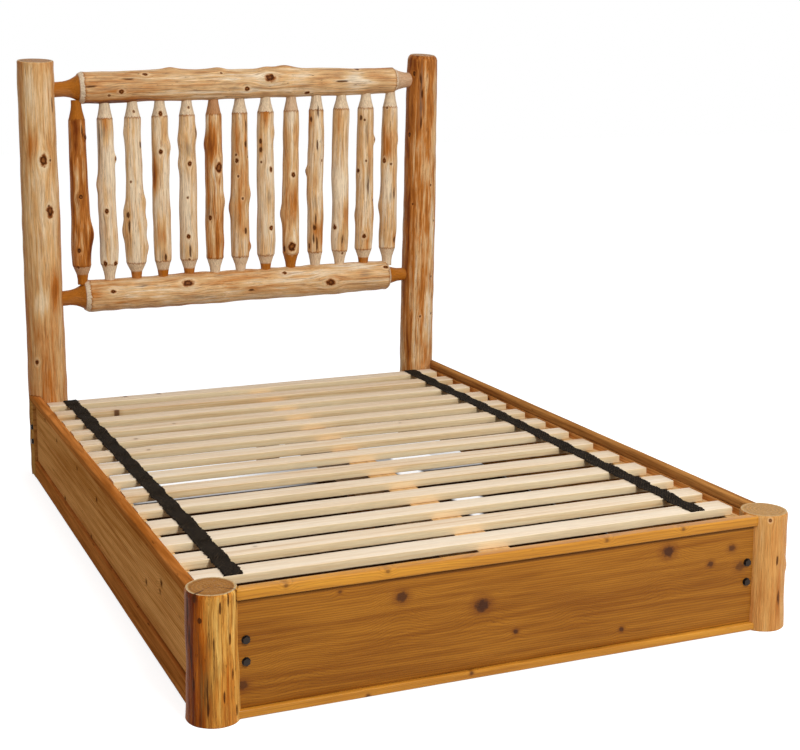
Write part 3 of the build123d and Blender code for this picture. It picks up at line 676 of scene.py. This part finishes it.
for index, (radii, tone, streak, cones, marks) in enumerate(spindles):
    low, lowNeck = spindlePlace(index, "bottom")
    high, highNeck = spindlePlace(index, "top")
    length = np.linalg.norm(high - low)
    thin, cone = spindleShape["tenon"], spindleShape["cone"]
    foot, top = lowNeck + cone, length - highNeck - cone
    base, middle, head = radii
    log = dict(
        start=low / 1000, end=high / 1000, barrel=(foot, top), seed=40 + index, sides=72,
        outline=[(lowNeck - 16, thin), (lowNeck + 2, thin), (lowNeck + 20, thin + 2.6),
                 (foot - 6, base - 5.5), (foot + 4, base - 1.5), (foot + 60, base),
                 (length * 0.55, middle), (top - 4, head - 0.3), (top + 7, head - 3.4),
                 (length - highNeck - 18, thin + 2.2), (length - highNeck - 2, thin),
                 (length - highNeck + 16, thin)],
        step=3.1, tone=[(foot, tone - 0.02), (length / 2, tone - 0.07), (top, tone)],
        soaked=[(lowNeck + 18, cones[0]), (lowNeck + 24, cones[0] * cones[2]),
                (foot, cones[0] * cones[2]), (foot + 1, cones[1])],
        marks=marks, streak=streak, fleck=0.6, rough=spindleShape["rough"],
        wander=spindleShape["wander"], amber=spindleShape["amber"],
    )
    number = f"{index + 1:02d}"
    piece = makeLog("spindle" + number, log, cedarLogs)
    settle(piece, "frame", "peeled_log", "headboard_spindle_" + number)
print("logs made")


def knotNodes(add, flat, knots):
    # dark cores, their halos and the way the rings bend round them: knots are (u, v, radius,
    # darkness) in millimetres on the board's face
    core, halo, push = 0.0, 0.0, 0.0
    ragged = add("TexNoise", {"Vector": flat, "Scale": 110.0, "Detail": 3.0})
    for u, v, radius, dark in knots:
        gap = add("VectorMath", {0: flat, 1: (u / 1000, v / 1000, 0)}, operation="SUBTRACT")
        gap = add("VectorMath", {0: gap, 1: (0.85, 1.0, 1.0)}, operation="MULTIPLY")
        reach = add("VectorMath", {0: gap}, operation="LENGTH").outputs["Value"]
        reach = add("Math", {0: reach, 1: 1000 / radius}, operation="MULTIPLY")
        reach = swing(add, ragged, 0.9, reach.outputs[0])
        inner = add("MapRange", {
            "Value": reach, "From Min": 1.1, "From Max": 0.5, "To Max": dark,
        }, interpolation_type="SMOOTHSTEP")
        outer = add("MapRange", {
            "Value": reach, "From Min": 2.2, "From Max": 0.6, "To Max": dark * 0.75,
        }, interpolation_type="SMOOTHSTEP")
        bend = add("MapRange", {
            "Value": reach, "From Min": 5.5, "From Max": 0.0, "To Max": radius * 1.1,
        }, interpolation_type="SMOOTHERSTEP")
        core = add("Math", {0: core, 1: inner}, operation="MAXIMUM")
        halo = add("Math", {0: halo, 1: outer}, operation="MAXIMUM")
        push = add("Math", {0: push, 1: bend}, operation="ADD")
    return core, halo, push


boardLook = {
    "ring": "#6F3D16",
    "core": "#43230F",
    "halo": "#733E12",
    "fibre": (1.8, 60),
    "streak": (12, 320),
    "corner": (0.011, 0.003, 0.42),  # where the painted shadow under a strip begins, ends, and its tone
}


def sawnBoard(name, axis, light, dark, pith=(0.0, -0.09), ringGap=8.0, ringDark=0.4, knots=(),
              gloss=0.42, sheen=0.12, drift=60, contrast=1.0, marks=0.0, shift=0.0,
              corner=None):
    # flat-sawn softwood: growth rings cut along their length, so they run as lines and eyes,
    # with knots through the board. axis is the grain's own: x or y
    material, add = newMaterial(name)
    look = boardLook
    place = add("TexCoord").outputs["Object"]
    parts = add("SeparateXYZ", {0: place})
    long, deep = (parts.outputs[0], parts.outputs[1]) if axis == "x" else (
        parts.outputs[1], parts.outputs[0])
    grain = add("CombineXYZ", {0: deep, 1: parts.outputs[2], 2: long})
    flat = add("CombineXYZ", {0: long, 1: parts.outputs[2]})
    slow = streaks(add, grain, 130, 900, detail=2, shift=2.3 + shift)
    streak = streaks(add, grain, *look["streak"], detail=3, shift=5.9 + shift)
    fibre = streaks(add, grain, *look["fibre"], detail=2, shift=9.1 + shift)
    core, halo, push = knotNodes(add, flat, knots)
    # distance from the pith in millimetres, moved by the log's own unevenness
    radial = add("VectorMath", {0: grain, 1: (0, pith[0], 0)}, operation="SUBTRACT")
    radial = add("VectorMath", {0: radial, 1: (0, 1000, 0)}, operation="MULTIPLY")
    radial = add("VectorMath", {0: radial, 1: (pith[1] * 1000, 0, 0)}, operation="ADD")
    radial = add("VectorMath", {0: radial}, operation="LENGTH").outputs["Value"]
    radial = swing(add, slow, drift, radial)
    radial = add("Math", {0: radial, 1: push}, operation="ADD")
    turns = add("Math", {0: radial, 1: 1 / ringGap}, operation="MULTIPLY")
    turns = swing(add, streak, 0.35, turns.outputs[0])
    late = add("Math", {0: turns}, operation="FRACT")
    late = add("ValToRGB", {"Fac": late}, stops=[
        (0.0, 0.0), (0.55, 0.12), (0.86, 0.8), (0.93, 1.0), (1.0, 0.0),
    ])
    depth = add("MapRange", {
        "Value": swing(add, streak, 1.2 * contrast, slow), "From Min": 0.25, "From Max": 0.8,
    })
    amount = add("Math", {0: late, 1: ringDark}, operation="MULTIPLY")
    wood = paint(add, light, (depth, dark), (amount, look["ring"]))
    wood = shadeFibres(add, wood, fibre, 0.3, 0.68, 0.9, 1.05)
    if marks:
        spots = streaks(add, grain, 9, 60, detail=3, shift=13.0 + shift, roughness=0.6)
        spots = add("MapRange", {
            "Value": spots, "From Min": 0.66, "From Max": 0.76, "To Max": marks,
        })
        wood = paint(add, wood, (spots, look["core"]))
    if knots:
        wood = paint(add, wood, (halo, look["halo"]), (core, look["core"]))
    if corner:  # painted shadow: the board darkened just under a strip, where the strip's shade would fall
        begins, ends, tone = look["corner"]
        gathered = add("MapRange", {
            "Value": parts.outputs[2], "From Min": corner - begins,
            "From Max": corner - ends, "To Min": 1.0, "To Max": tone,
        })
        wood = paint(add, wood, (1.0, gathered), blend="MULTIPLY")
    relief = add("Math", {0: late, 1: -0.6, 2: fibre}, operation="MULTIPLY_ADD")
    finishSurface(add, wood, relief, 0.0004, gloss, Specular_IOR_Level=sheen)
    return material


def makeBoard(name, node, axis, easing, material, body="frame", trim=None, wave=0.0, seed=1):
    # a planed board with eased edges, as large as its node
    low, high = (np.array(corner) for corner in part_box(node))
    long, across = (0, 1) if axis == "x" else (1, 0)
    rng = np.random.default_rng(seed)
    count = max(8, int((high[long] - low[long]) / 0.012))
    t = np.linspace(low[long] + easing, high[long] - easing, count)
    t = np.concatenate([[low[long]] * 2, t, [high[long]] * 2])
    inward = np.full(len(t), 0.0)
    inward[[0, 1]] = easing * 0.9, easing * 0.5
    inward[[-2, -1]] = easing * 0.5, easing * 0.9
    t[1] += easing * 0.25
    t[-2] -= easing * 0.25
    corners = [(1, 1), (-1, 1), (-1, -1), (1, -1)]
    middle = (low + high) / 2
    half = (high - low) / 2
    outline = []
    for n, (sx, sz) in enumerate(corners):
        sx0, sz0 = corners[(n - 1) % 4]
        straight = np.linspace(0, 1, 5)[1:-1]
        if n:
            for s in straight:
                ax = (sx0 + (sx - sx0) * s) * (half[across] - easing * (sx0 == -sx))
                az = (sz0 + (sz - sz0) * s) * (half[2] - easing * (sz0 == -sz))
                outline.append((ax, az))
        for s in range(5):
            angle = math.radians(90 * n + s * 22.5)
            outline.append((sx * (half[across] - easing) + easing * math.cos(angle),
                            sz * (half[2] - easing) + easing * math.sin(angle)))
    outline = np.array(outline)
    size = np.array((half[across], half[2]))
    rows = np.zeros((len(t), len(outline), 3))
    for n, (place, pull) in enumerate(zip(t, inward)):
        ring = outline * (1 - pull / size)
        rows[n, :, long] = place
        rows[n, :, across] = middle[across] + ring[:, 0]
        rows[n, :, 2] = middle[2] + ring[:, 1]
    if wave:
        for ripple in range(5):
            run = 2 * math.pi / rng.uniform(0.12, 0.9)
            top = (rows[..., 2] - middle[2]) / half[2]
            rows[..., 2] -= (wave * (0.5 + 0.5 * np.sin(run * rows[..., long] + rng.uniform(0, 6)))
                             * np.sign(top) * (abs(top) > 0.5) * rng.uniform(0.2, 0.5))
    if trim:
        rows = trim(rows)
    piece = joinRows(name, rows, {}, axis == "x")
    piece.data.materials.append(material)
    piece.data.set_sharp_from_angle(angle=math.radians(50))
    return piece


footboard = {
    "easing": 0.0045,
    "scribe": (758.5, -1071, 62.2),  # the post's place and radius in millimetres
    # the panel's corner is the height of the top strip, under which painted shadow is laid
    "panel": dict(light="#AA6D1F", dark="#8A5110", ringGap=6.0, ringDark=0.6,
                  pith=(0.42, 0.05), contrast=1.5, drift=26, corner=0.287,
                  knots=[(-299, 235, 15, 0.85), (-85, 183, 19, 1.0), (444, 250, 17, 0.95),
                         (8, 102, 7, 0.9), (311, 61, 7, 0.85), (574, 199, 9, 0.8),
                         (639, 234, 10, 0.75), (-697, 80, 13, 0.75), (-457, 270, 5, 0.6),
                         (667, 181, 14, 0.6), (-304, 176, 17, 0.0), (442, 180, 17, 0.0),
                         (-560, 120, 20, 0.0), (180, 140, 14, 0.0)]),
    "trims": dict(light="#DA9733", dark="#B37325", ringGap=4.0, ringDark=0.3,
                  pith=(0.25, 0.1), contrast=0.8, marks=0.35,
                  knots=[(-117, 18, 5, 0.7), (-390, 6, 5, 0.7), (-593, 308, 5, 0.5),
                         (-340, 308, 5, 0.45), (254, 308, 5, 0.45), (479, 309, 5, 0.5)]),
}


def roundPosts(rows):
    # the top strip is scribed round the foot posts
    postX, postY, radius = footboard["scribe"]
    across = np.clip(radius ** 2 - (rows[..., 1] * 1000 - postY) ** 2, 0, None)
    limit = (postX - np.sqrt(across)) / 1000
    rows[..., 0] = np.clip(rows[..., 0], -limit, limit)
    return rows


panelWood = sawnBoard("varnishedCedarPanel", "x", **footboard["panel"])
stripWood = sawnBoard("varnishedPineStrip", "x", gloss=0.3, sheen=0.15, **footboard["trims"])
for name, node, material, slotName, easing, trim in (
    ("footPanel", "footboard_panel", panelWood, "footboard_wood", 0.0015, None),
    ("footTopStrip", "footboard_top_trim", stripWood, "trim_wood", footboard["easing"],
     roundPosts),
    ("footBottomStrip", "footboard_bottom_trim", stripWood, "trim_wood", footboard["easing"],
     None),
):
    piece = makeBoard(name, node, "x", easing, material, trim=trim, wave=0.0004)
    settle(piece, "frame", slotName, node)

sideRails = {
    "planks": dict(light="#EAA861", dark="#C17D3A", ringGap=7.0, ringDark=0.4,
                   pith=(0.41, 0.05), contrast=1.3, marks=0.7, sheen=0.0, drift=34),
    "caps": dict(light="#D48642", dark="#A15C22", ringGap=6.0, ringDark=0.35,
                 pith=(0.35, 0.1), contrast=1.2, marks=0.8, sheen=0.0, drift=34),
    "rightCaps": dict(light="#C08648", dark="#935C2C", ringGap=6.0, ringDark=0.35,
                      pith=(0.35, 0.1), contrast=1.2, marks=0.9, sheen=0.0, drift=34),
    "knots": {
        "left": [(-2, 214, 7, 0.8), (504, 72, 7, 0.8), (-752, 216, 8, 0.8), (-595, 165, 7, 0.7),
                 (282, 234, 6, 0.7), (619, 239, 6, 0.7), (832, 264, 6, 0.7), (94, 70, 6, 0.7),
                 (-737, 190, 6, 0.6)],
        "right": [(520, 262, 7, 0.8), (-420, 230, 9, 0.8), (-700, 180, 9, 0.6)],
    },
}
boardNodes = (("UpperPlank", "upper_plank", "rail_plank_wood", "planks", 0.002),
              ("LowerPlank", "lower_plank", "rail_plank_wood", "planks", 0.002),
              ("TopStrip", "top_trim", "trim_wood", "caps", 0.004),
              ("BottomStrip", "bottom_trim", "trim_wood", "caps", 0.003))
for hand, shift in (("left", 0.0), ("right", 21.0)):
    woods = {
        "planks": sawnBoard("varnishedCedarPlank" + hand.title(), "y", shift=shift,
                            knots=sideRails["knots"][hand], **sideRails["planks"]),
        "caps": sawnBoard("varnishedCedarCap" + hand.title(), "y", shift=shift + 4,
                          **sideRails["rightCaps" if shift else "caps"]),
    }
    for title, ending, slotName, wood, easing in boardNodes:
        node = f"rail_{hand}_{ending}"
        piece = makeBoard(hand + title, node, "y", easing, woods[wood], wave=0.0005)
        settle(piece, "frame", slotName, node)
print("boards made")

stileWood = sawnBoard("varnishedCedarStile", "x", light="#D49C58", dark="#B07634", ringGap=7.0,
                      pith=(0.1, 0.3), contrast=1.0, marks=0.3, shift=3.0, sheen=0.0)
ledgerWood = sawnBoard("varnishedPineLedger", "y", light="#E6BF87", dark="#CC9A5A", ringGap=5.0,
                       pith=(0.3, 0.1), ringDark=0.25, marks=0.3, shift=6.0)
beamWood = sawnBoard("varnishedPineBeam", "y", light="#E3B980", dark="#C48F50", ringGap=5.0,
                     pith=(0.3, 0.1), ringDark=0.3, marks=0.4, shift=8.0)
legWood = sawnBoard("turnedCedarLeg", "y", light="#B9783F", dark="#8F5424", ringGap=6.0,
                    pith=(0.1, 0.1), marks=0.4, shift=12.0)


def metal(name, colour, roughness, pitting):
    # zinc or black oxide on steel: grain of the coating, duller where hands and tools rub
    material, add = newMaterial(name)
    place = add("TexCoord").outputs["Object"]
    grain = add("TexNoise", {"Vector": place, "Scale": 1000 / 2.5, "Detail": 3})
    shade = add("MapRange", {"Value": grain.outputs["Fac"], "To Min": 0.7, "To Max": 1.15})
    tint = paint(add, colour, (1.0, shade), blend="MULTIPLY")
    worn = add("MapRange", {"Value": grain.outputs["Fac"],
                                      "To Min": roughness - 0.1, "To Max": roughness + 0.2})
    finishSurface(add, tint, grain.outputs["Fac"], pitting, worn, Metallic=1.0)
    return material


blackSteel = metal("blackOxideSteel", "#37312D", 0.4, 0.0002)
zincSteel = metal("galvanisedSteel", "#8F8F8E", 0.42, 0.0001)

carriedOver = {
    "rail_left_head_stile": stileWood, "rail_right_head_stile": stileWood,
    "rail_left_ledger": ledgerWood, "rail_right_ledger": ledgerWood,
    "centre_beam": beamWood, "beam_cleat": beamWood, "corner_blocks": beamWood,
    "centre_legs": legWood, "footboard_bolts": blackSteel, "footboard_bolt_nuts": zincSteel,
    "rail_bolts": blackSteel, "wood_screws": zincSteel, "strap_staples": zincSteel,
}
for node, material in carriedOver.items():
    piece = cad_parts[node]
    piece.data.materials.clear()
    piece.data.materials.append(material)

slats = {
    "nodes": [f"slat_{n + 1:02d}" for n in range(14)], "easing": 0.0022,
    "unevenness": 0.0007, "shiftSideways": 0.003, "seed": 5,
    "light": "#F1DFC6", "mid": "#E9D0B0", "dark": "#D0AA80", "knot": "#5A3319",
    # edge: the painted shade laid on the slats' sideways faces
    "edge": "#FFFBE7", "collar": "#A87441",
    "knots": [(-0.472, 0.985, 9, 0.85), (-0.347, 0.985, 8, 0.9), (-0.549, 0.786, 11, 0.9),
              (-0.41, 0.53, 7, 0.4), (-0.579, 0.382, 7, 0.6), (-0.573, 0.237, 6, 0.6),
              (-0.573, 0.205, 5, 0.6), (0.3, 0.25, 5, 0.4), (-0.55, -0.76, 6, 0.3)],
}


def slatPine():
    # planed spruce, left bare: cream wood with faint straw-coloured rings, few small knots
    material, add = newMaterial("bareSpruceSlat")
    place = add("TexCoord").outputs["Object"]
    parts = add("SeparateXYZ", {0: place})
    tone = attribute(add, "slatTone")
    apart = add("Math", {0: tone, 1: 7.0, 2: parts.outputs[0]}, operation="MULTIPLY_ADD")
    grain = add("CombineXYZ", {0: parts.outputs[1], 1: parts.outputs[2], 2: apart})
    flat = add("CombineXYZ", {0: parts.outputs[0], 1: parts.outputs[1]})
    wide = streaks(add, grain, 22, 700, detail=2, shift=1.7)
    line = streaks(add, grain, 5, 420, detail=3, shift=6.1)
    fibre = streaks(add, grain, 1.6, 40, detail=2, shift=4.4)
    core, halo, _ = knotNodes(add, flat, [
        (x * 1000, y * 1000, size, dark) for x, y, size, dark in slats["knots"]])
    level = swing(add, wide, 1.2, swing(add, line, 1.3, tone).outputs[0])
    wood = add("ValToRGB", {"Fac": level}, stops=[
        (0.15, slats["light"]), (0.55, slats["mid"]), (1.0, slats["dark"]),
    ])
    wood = shadeFibres(add, wood, fibre, 0.34, 0.64, 0.9, 1.03)
    # painted shade: faces turned sideways are tinted darker and warmer than the tops and undersides
    facing = add("SeparateXYZ", {0: add("NewGeometry").outputs["Normal"]})
    planed = add("Math", {0: facing.outputs[2]}, operation="ABSOLUTE")
    planed = add("MapRange", {"Value": planed, "From Min": 0.4, "From Max": 0.8})
    edge = paint(add, wood, (1.0, slats["edge"]), blend="MULTIPLY")
    halo = add("Math", {0: halo, 1: 0.6}, operation="MULTIPLY")
    wood = paint(add, edge, (planed, wood), (halo, slats["collar"]), (core, slats["knot"]))
    finishSurface(add, wood, fibre, 0.00025, 0.62, Specular_IOR_Level=0.15)
    return material


def slatTree():
    # a slat at every point of the mesh that the tree is given
    tree = bpy.data.node_groups.new("slatDeck", "GeometryNodeTree")
    tree.interface.new_socket("Geometry", in_out="OUTPUT", socket_type="NodeSocketGeometry")
    for name, kind in (("Middles", "Geometry"), ("Width", "Float"), ("Thickness", "Float"),
                       ("Length", "Float"), ("Easing", "Float"), ("Unevenness", "Float"),
                       ("Sideways", "Float"), ("Seed", "Int"), ("Material", "Material")):
        tree.interface.new_socket(name, in_out="INPUT", socket_type="NodeSocket" + kind)
    add = partial(addNode, tree)
    given = add("NodeGroupInput").outputs
    halfLength = add("Math", {0: given["Length"], 1: 0.5}, operation="MULTIPLY")
    tone = add("FunctionNodeRandomValue", {"Min": 0.2, "Max": 0.62, "Seed": given["Seed"]},
               data_type="FLOAT")
    line = add("GeometryNodeStoreNamedAttribute", {
        "Geometry": given["Middles"], "Name": "slatTone", "Value": tone,
    }, data_type="FLOAT", domain="POINT")
    slide = add("FunctionNodeRandomValue", {
        "Min": add("Math", {0: given["Sideways"], 1: -1.0}, operation="MULTIPLY"),
        "Max": given["Sideways"], "Seed": 3,
    }, data_type="FLOAT")
    line = add("GeometryNodeSetPosition", {
        "Geometry": line, "Offset": add("CombineXYZ", {0: slide}),
    })
    # one slat: an eased rectangle drawn along its length, its two ends a little smaller
    path = add("GeometryNodeCurvePrimitiveLine", {
        "Start": add("CombineXYZ", {
            0: add("Math", {0: halfLength, 1: -1.0}, operation="MULTIPLY")}),
        "End": add("CombineXYZ", {0: halfLength}),
    })
    path = add("GeometryNodeResampleCurve", {"Curve": path, "Count": 220})
    place = add("GeometryNodeSplineParameter").outputs["Factor"]
    fromMiddle = add("Math", {
        0: add("Math", {0: place, 1: 0.5}, operation="SUBTRACT")},
        operation="ABSOLUTE")
    size = add("MapRange", {
        "Value": fromMiddle, "From Min": 0.4948, "From Max": 0.5, "To Min": 1.0, "To Max": 0.87,
    })
    path = add("GeometryNodeSetCurveRadius", {"Curve": path, "Radius": size})
    section = add("GeometryNodeCurvePrimitiveQuadrilateral", {
        "Width": given["Width"], "Height": given["Thickness"],
    }, mode="RECTANGLE")
    section = add("GeometryNodeFilletCurve", {
        "Curve": section, "Count": 3, "Radius": given["Easing"],
    }, mode="POLY")
    slat = add("GeometryNodeCurveToMesh", {
        "Curve": path, "Profile Curve": section, "Fill Caps": True,
    })
    placed = add("GeometryNodeInstanceOnPoints", {"Points": line, "Instance": slat})
    real = add("GeometryNodeRealizeInstances", {"Geometry": placed})
    noise = add("TexNoise", {"Scale": 9.0, "Detail": 2.0}).outputs["Color"]
    noise = add("VectorMath", {0: noise, 1: (0.5, 0.5, 0.5)}, operation="SUBTRACT")
    noise = add("VectorMath", {0: noise, 1: (0.0, 6.0, 0.6)}, operation="MULTIPLY")
    noise = add("VectorMath", {0: noise, "Scale": given["Unevenness"]}, operation="SCALE")
    real = add("GeometryNodeSetPosition", {"Geometry": real, "Offset": noise})
    real = add("GeometryNodeSetMaterial", {"Geometry": real, "Material": given["Material"]})
    add("NodeGroupOutput", {0: real})
    return tree


def growMesh(name, tree, points, values):
    # a tree's result at these points as a plain mesh, its modifier gone
    start = bpy.data.meshes.new(name + "Holder")
    start.from_pydata(points, [], [])
    holder = intoScene(name + "Holder", start)
    modifier = holder.modifiers.new("grow", "NODES")
    modifier.node_group = tree
    for item in tree.interface.items_tree:
        if item.in_out == "INPUT" and item.name in values:
            modifier[item.identifier] = values[item.name]
    grown = holder.evaluated_get(bpy.context.evaluated_depsgraph_get())
    mesh = bpy.data.meshes.new_from_object(grown)
    mesh.name = name
    bpy.data.objects.remove(holder)
    return intoScene(name, mesh)


slatBoxes = [np.array(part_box(node)) for node in slats["nodes"]]
slatSize = (slatBoxes[0][1] - slatBoxes[0][0]).tolist()
slatDeck = growMesh("slats", slatTree(), [box.mean(0).tolist() for box in slatBoxes], {
    "Width": slatSize[1], "Thickness": slatSize[2], "Length": slatSize[0],
    "Easing": slats["easing"], "Unevenness": slats["unevenness"],
    "Sideways": slats["shiftSideways"], "Seed": slats["seed"], "Material": slatPine(),
})
slatDeck.data.polygons.foreach_set("use_smooth", [True] * len(slatDeck.data.polygons))
slatDeck.data.set_sharp_from_angle(angle=math.radians(40))
settle(slatDeck, "slat_deck", "slat_wood", *slats["nodes"])
print("slats", [round(v, 4) for v in slatDeck.bound_box[0]],
      [round(v, 4) for v in slatDeck.bound_box[6]])

straps = {
    "width": 0.048, "thickness": 0.0018, "lift": 0.0006, "arch": 0.0012,
    "left": (-0.672, -0.659), "right": (0.672, 0.65), "sag": 0.0035, "cover": "#30261C",
    "thread": "#0F0C08", "fuzz": "#836D55", "yarn": 4.2, "seed": 8,
    "step": 0.0035,  # between two rows of points
    "leaving": 0.012,  # how near a slat's edge the webbing starts to bend down
    "ruffle": 0.0035, "wander": 0.0011, "fray": 0.0011, "crease": 0.0004,
}


def webbing():
    # coarse polypropylene webbing: thick dull yarns crossing, a few bright broken fibres
    material, add = newMaterial("blackPolypropyleneWebbing")
    run = attribute(add, "weave", "Vector")
    parts = add("SeparateXYZ", {0: run})
    wobble = add("TexNoise", {"Vector": run, "Scale": 60.0, "Detail": 2.0})
    along = swing(add, wobble.outputs["Fac"], 0.004, parts.outputs[0])
    across = swing(add, wobble.outputs["Fac"], 0.004, parts.outputs[1])
    step = 1000 * math.pi / straps["yarn"]
    warp = add("Math", {0: across, 1: step}, operation="MULTIPLY")
    weft = add("Math", {0: along, 1: step * 0.7}, operation="MULTIPLY")
    warp = add("Math", {0: warp}, operation="SINE")
    weft = add("Math", {0: weft}, operation="SINE")
    cross = add("Math", {0: warp, 1: weft}, operation="MULTIPLY")
    fuzz = add("TexNoise", {"Vector": run, "Scale": 240.0, "Detail": 4.0,
                                      "Roughness": 0.7}).outputs["Fac"]
    level = swing(add, fuzz, 1.9, add("Math", {0: cross, 1: 0.25, 2: 0.4},
                                      operation="MULTIPLY_ADD").outputs[0])
    colour = add("ValToRGB", {"Fac": level}, stops=[
        (0.25, straps["thread"]), (0.62, straps["cover"]), (0.95, straps["fuzz"]),
    ])
    finishSurface(add, colour, level, 0.0026, 0.8, Specular_IOR_Level=0.06)
    return material


slatBacks = [box[1][1] for box in slatBoxes]
deckTop = slatBoxes[0][1][2]
deckFront = slatBoxes[-1][0][1]


def strapHeight(y):
    # on a slat it lies flat; between two it hangs, deepest just past the nearer edge
    s = straps
    resting = deckTop + s["thickness"] / 2 + s["lift"]
    number = sum(back >= y for back in slatBacks) - 1
    past = slatBacks[number] - y - slatSize[1]
    if past <= 0:
        edge = min(-past, past + slatSize[1])
        return resting + s["arch"] * min(1.0, edge / s["leaving"])
    u = past / (slatBacks[number] - slatSize[1] - slatBacks[number + 1])
    return resting - s["sag"] * math.sin(math.pi * u ** 0.62)


def makeStrap(name, hand, material):
    rng = np.random.default_rng(straps["seed"] + (hand == "right"))
    s = straps
    ys = np.arange(slatBacks[0] - 0.001, deckFront, -s["step"])
    zs = np.array([strapHeight(y) for y in ys])
    xs = np.interp(ys, (deckFront, slatBacks[0]), s[hand][::-1])
    bends = np.linspace(ys[-1], ys[0], 40)
    xs = xs + np.interp(ys[::-1], bends, rng.normal(0, s["wander"], len(bends)))[::-1]
    runs = np.concatenate([[0], np.cumsum(np.hypot(np.diff(ys), np.diff(zs)))])
    across = np.linspace(-0.5, 0.5, 17)
    fray = rng.normal(0, s["fray"], (len(ys), 2))
    fray = np.cumsum(fray, 0) * 0.35 + fray
    fray -= np.apply_along_axis(lambda v: np.convolve(v, np.ones(15) / 15, "same"), 0, fray)
    offset = across[None] * np.full((len(ys), 1), s["width"])
    offset[:, 0] += fray[:, 0]
    offset[:, -1] += fray[:, 1]
    crease = rng.normal(0, s["crease"], (len(ys), len(across)))
    sagging = np.clip((deckTop + s["thickness"] / 2 - zs) / s["sag"], 0, 1)
    ruffle = s["ruffle"] * sagging[:, None] * (across[None] * 2) ** 2 * np.sign(
        rng.normal(0, 1, (1, 1))) * np.sin(ys[:, None] * 37)
    x = xs[:, None] + offset
    z = zs[:, None] + crease + np.abs(ruffle) * 0.6
    y = np.repeat(ys[:, None], len(across), 1)
    half = s["thickness"] / 2
    top = np.stack([x, y, z + half], -1)
    bottom = np.stack([x, y, z - half], -1)[:, ::-1]
    rows = np.concatenate([top, bottom], 1)
    weave = np.stack([np.repeat(runs[:, None], len(across), 1), offset, 0 * x], -1)
    weave = np.concatenate([weave, weave[:, ::-1]], 1)
    piece = joinRows(name, rows, {"weave": weave}, False)
    piece.data.materials.append(material)
    settle(piece, "slat_deck", "strap_webbing", "strap_" + hand)


webbingBlack = webbing()
for hand in ("left", "right"):
    makeStrap("strap" + hand.title(), hand, webbingBlack)
print("straps laid")

stage = {
    "half": 20.0,
    "paper": "#C9C9C9",
    "shade": "#3A2415",
    "glow": 0.8,
    # the bed's shade in three parts: low corner, high corner and how far the edges fade
    "bed": [((-0.79, -1.1), (0.8, 0.6), (0.02, 0.03)),
            ((-0.17, -0.5), (0.8, 1.1), (0.3, 0.5)),
            ((-0.7, -0.5), (-0.45, 1.1), (0.12, 0.5))],
    # where light falls between the slats
    "lit": [((0.49, 0.7), (0.66, 0.87), (0.02, 0.02)),
            ((0.43, 0.5), (0.54, 0.66), (0.02, 0.02)),
            ((0.48, 0.13), (0.6, 0.29), (0.02, 0.02)),
            ((0.46, -0.02), (0.515, 0.1), (0.02, 0.02))],
}


def makeStage():
    material, add = newMaterial("whitePaperSweep")
    # matt paper, white to the eye and in reflections, painted dark under the bed
    place = add("TexCoord").outputs["Object"]
    parts = add("SeparateXYZ", {0: place}).outputs
    covers = []
    for patches in (stage["bed"], stage["lit"]):
        cover = 0.0
        for low, high, soft in patches:
            part = 1.0
            for axis in range(2):
                for edge, inner in ((low[axis], low[axis] + soft[axis]),
                                    (high[axis], high[axis] - soft[axis])):
                    side = add("MapRange", {
                        "Value": parts[axis], "From Min": edge, "From Max": inner})
                    part = add("Math", {0: part, 1: side}, operation="MULTIPLY")
            cover = add("Math", {0: cover, 1: part}, operation="MAXIMUM")
        covers.append(cover)
    cover = add("Math", dict(enumerate(covers)), operation="SUBTRACT", use_clamp=True)
    bare = add("Math", {0: 1.0, 1: cover}, operation="SUBTRACT")
    glow = add("Math", {0: seenByEye(add), 1: bare}, operation="MULTIPLY")
    glow = add("Math", {0: glow, 1: stage["glow"]}, operation="MULTIPLY")
    paper = paint(add, stage["paper"], (cover, stage["shade"]))
    matt = add("BsdfDiffuse", {"Color": paper})
    white = add("Emission", {"Strength": glow})
    both = add("AddShader", {0: matt, 1: white})
    add("OutputMaterial", {"Surface": both})
    mesh = bpy.data.meshes.new("floor")
    half = stage["half"]
    mesh.from_pydata([(-half, -half, 0), (half, -half, 0), (half, half, 0), (-half, half, 0)],
                     [], [(0, 1, 2, 3)])
    mesh.materials.append(material)
    floor = intoScene("floor", mesh)
    floor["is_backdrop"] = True


lights = {
    "sky": 0.4,
    "aim": (0, 0, 0.5),
    "key": {"place": (0.2, -4.3, 3.6), "size": 1.6, "power": 153},
    "fill": {"place": (3.6, -3.4, 2.2), "size": 2.0, "power": 42},
    "top": {"place": (0.2, 0.0, 4.6), "size": 2.6, "power": 28},
}


def makeLights():
    world = bpy.data.worlds.new("studio")
    bpy.context.scene.world = world
    world.use_nodes = True
    world.node_tree.nodes.clear()
    add = partial(addNode, world.node_tree)
    strength = add("MapRange", {"Value": seenByEye(add), "To Min": lights["sky"]})
    back = add("Background", {"Color": "#FFFFFF", "Strength": strength})
    add("OutputWorld", {"Surface": back})
    for name in ("key", "fill", "top"):
        lamp = lights[name]
        data = bpy.data.lights.new(name, "AREA")
        data.shape = "DISK"
        data.size = lamp["size"]
        data.energy = lamp["power"]
        holder = intoScene(name, data)
        aim = Vector(lights["aim"]) - Vector(lamp["place"])
        holder.matrix_world = (Matrix.Translation(lamp["place"])
                               @ aim.to_track_quat("-Z", "Y").to_matrix().to_4x4())


makeStage()
makeLights()
bpy.context.scene.view_settings.view_transform = "Standard"

low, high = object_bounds()
print("stage set")
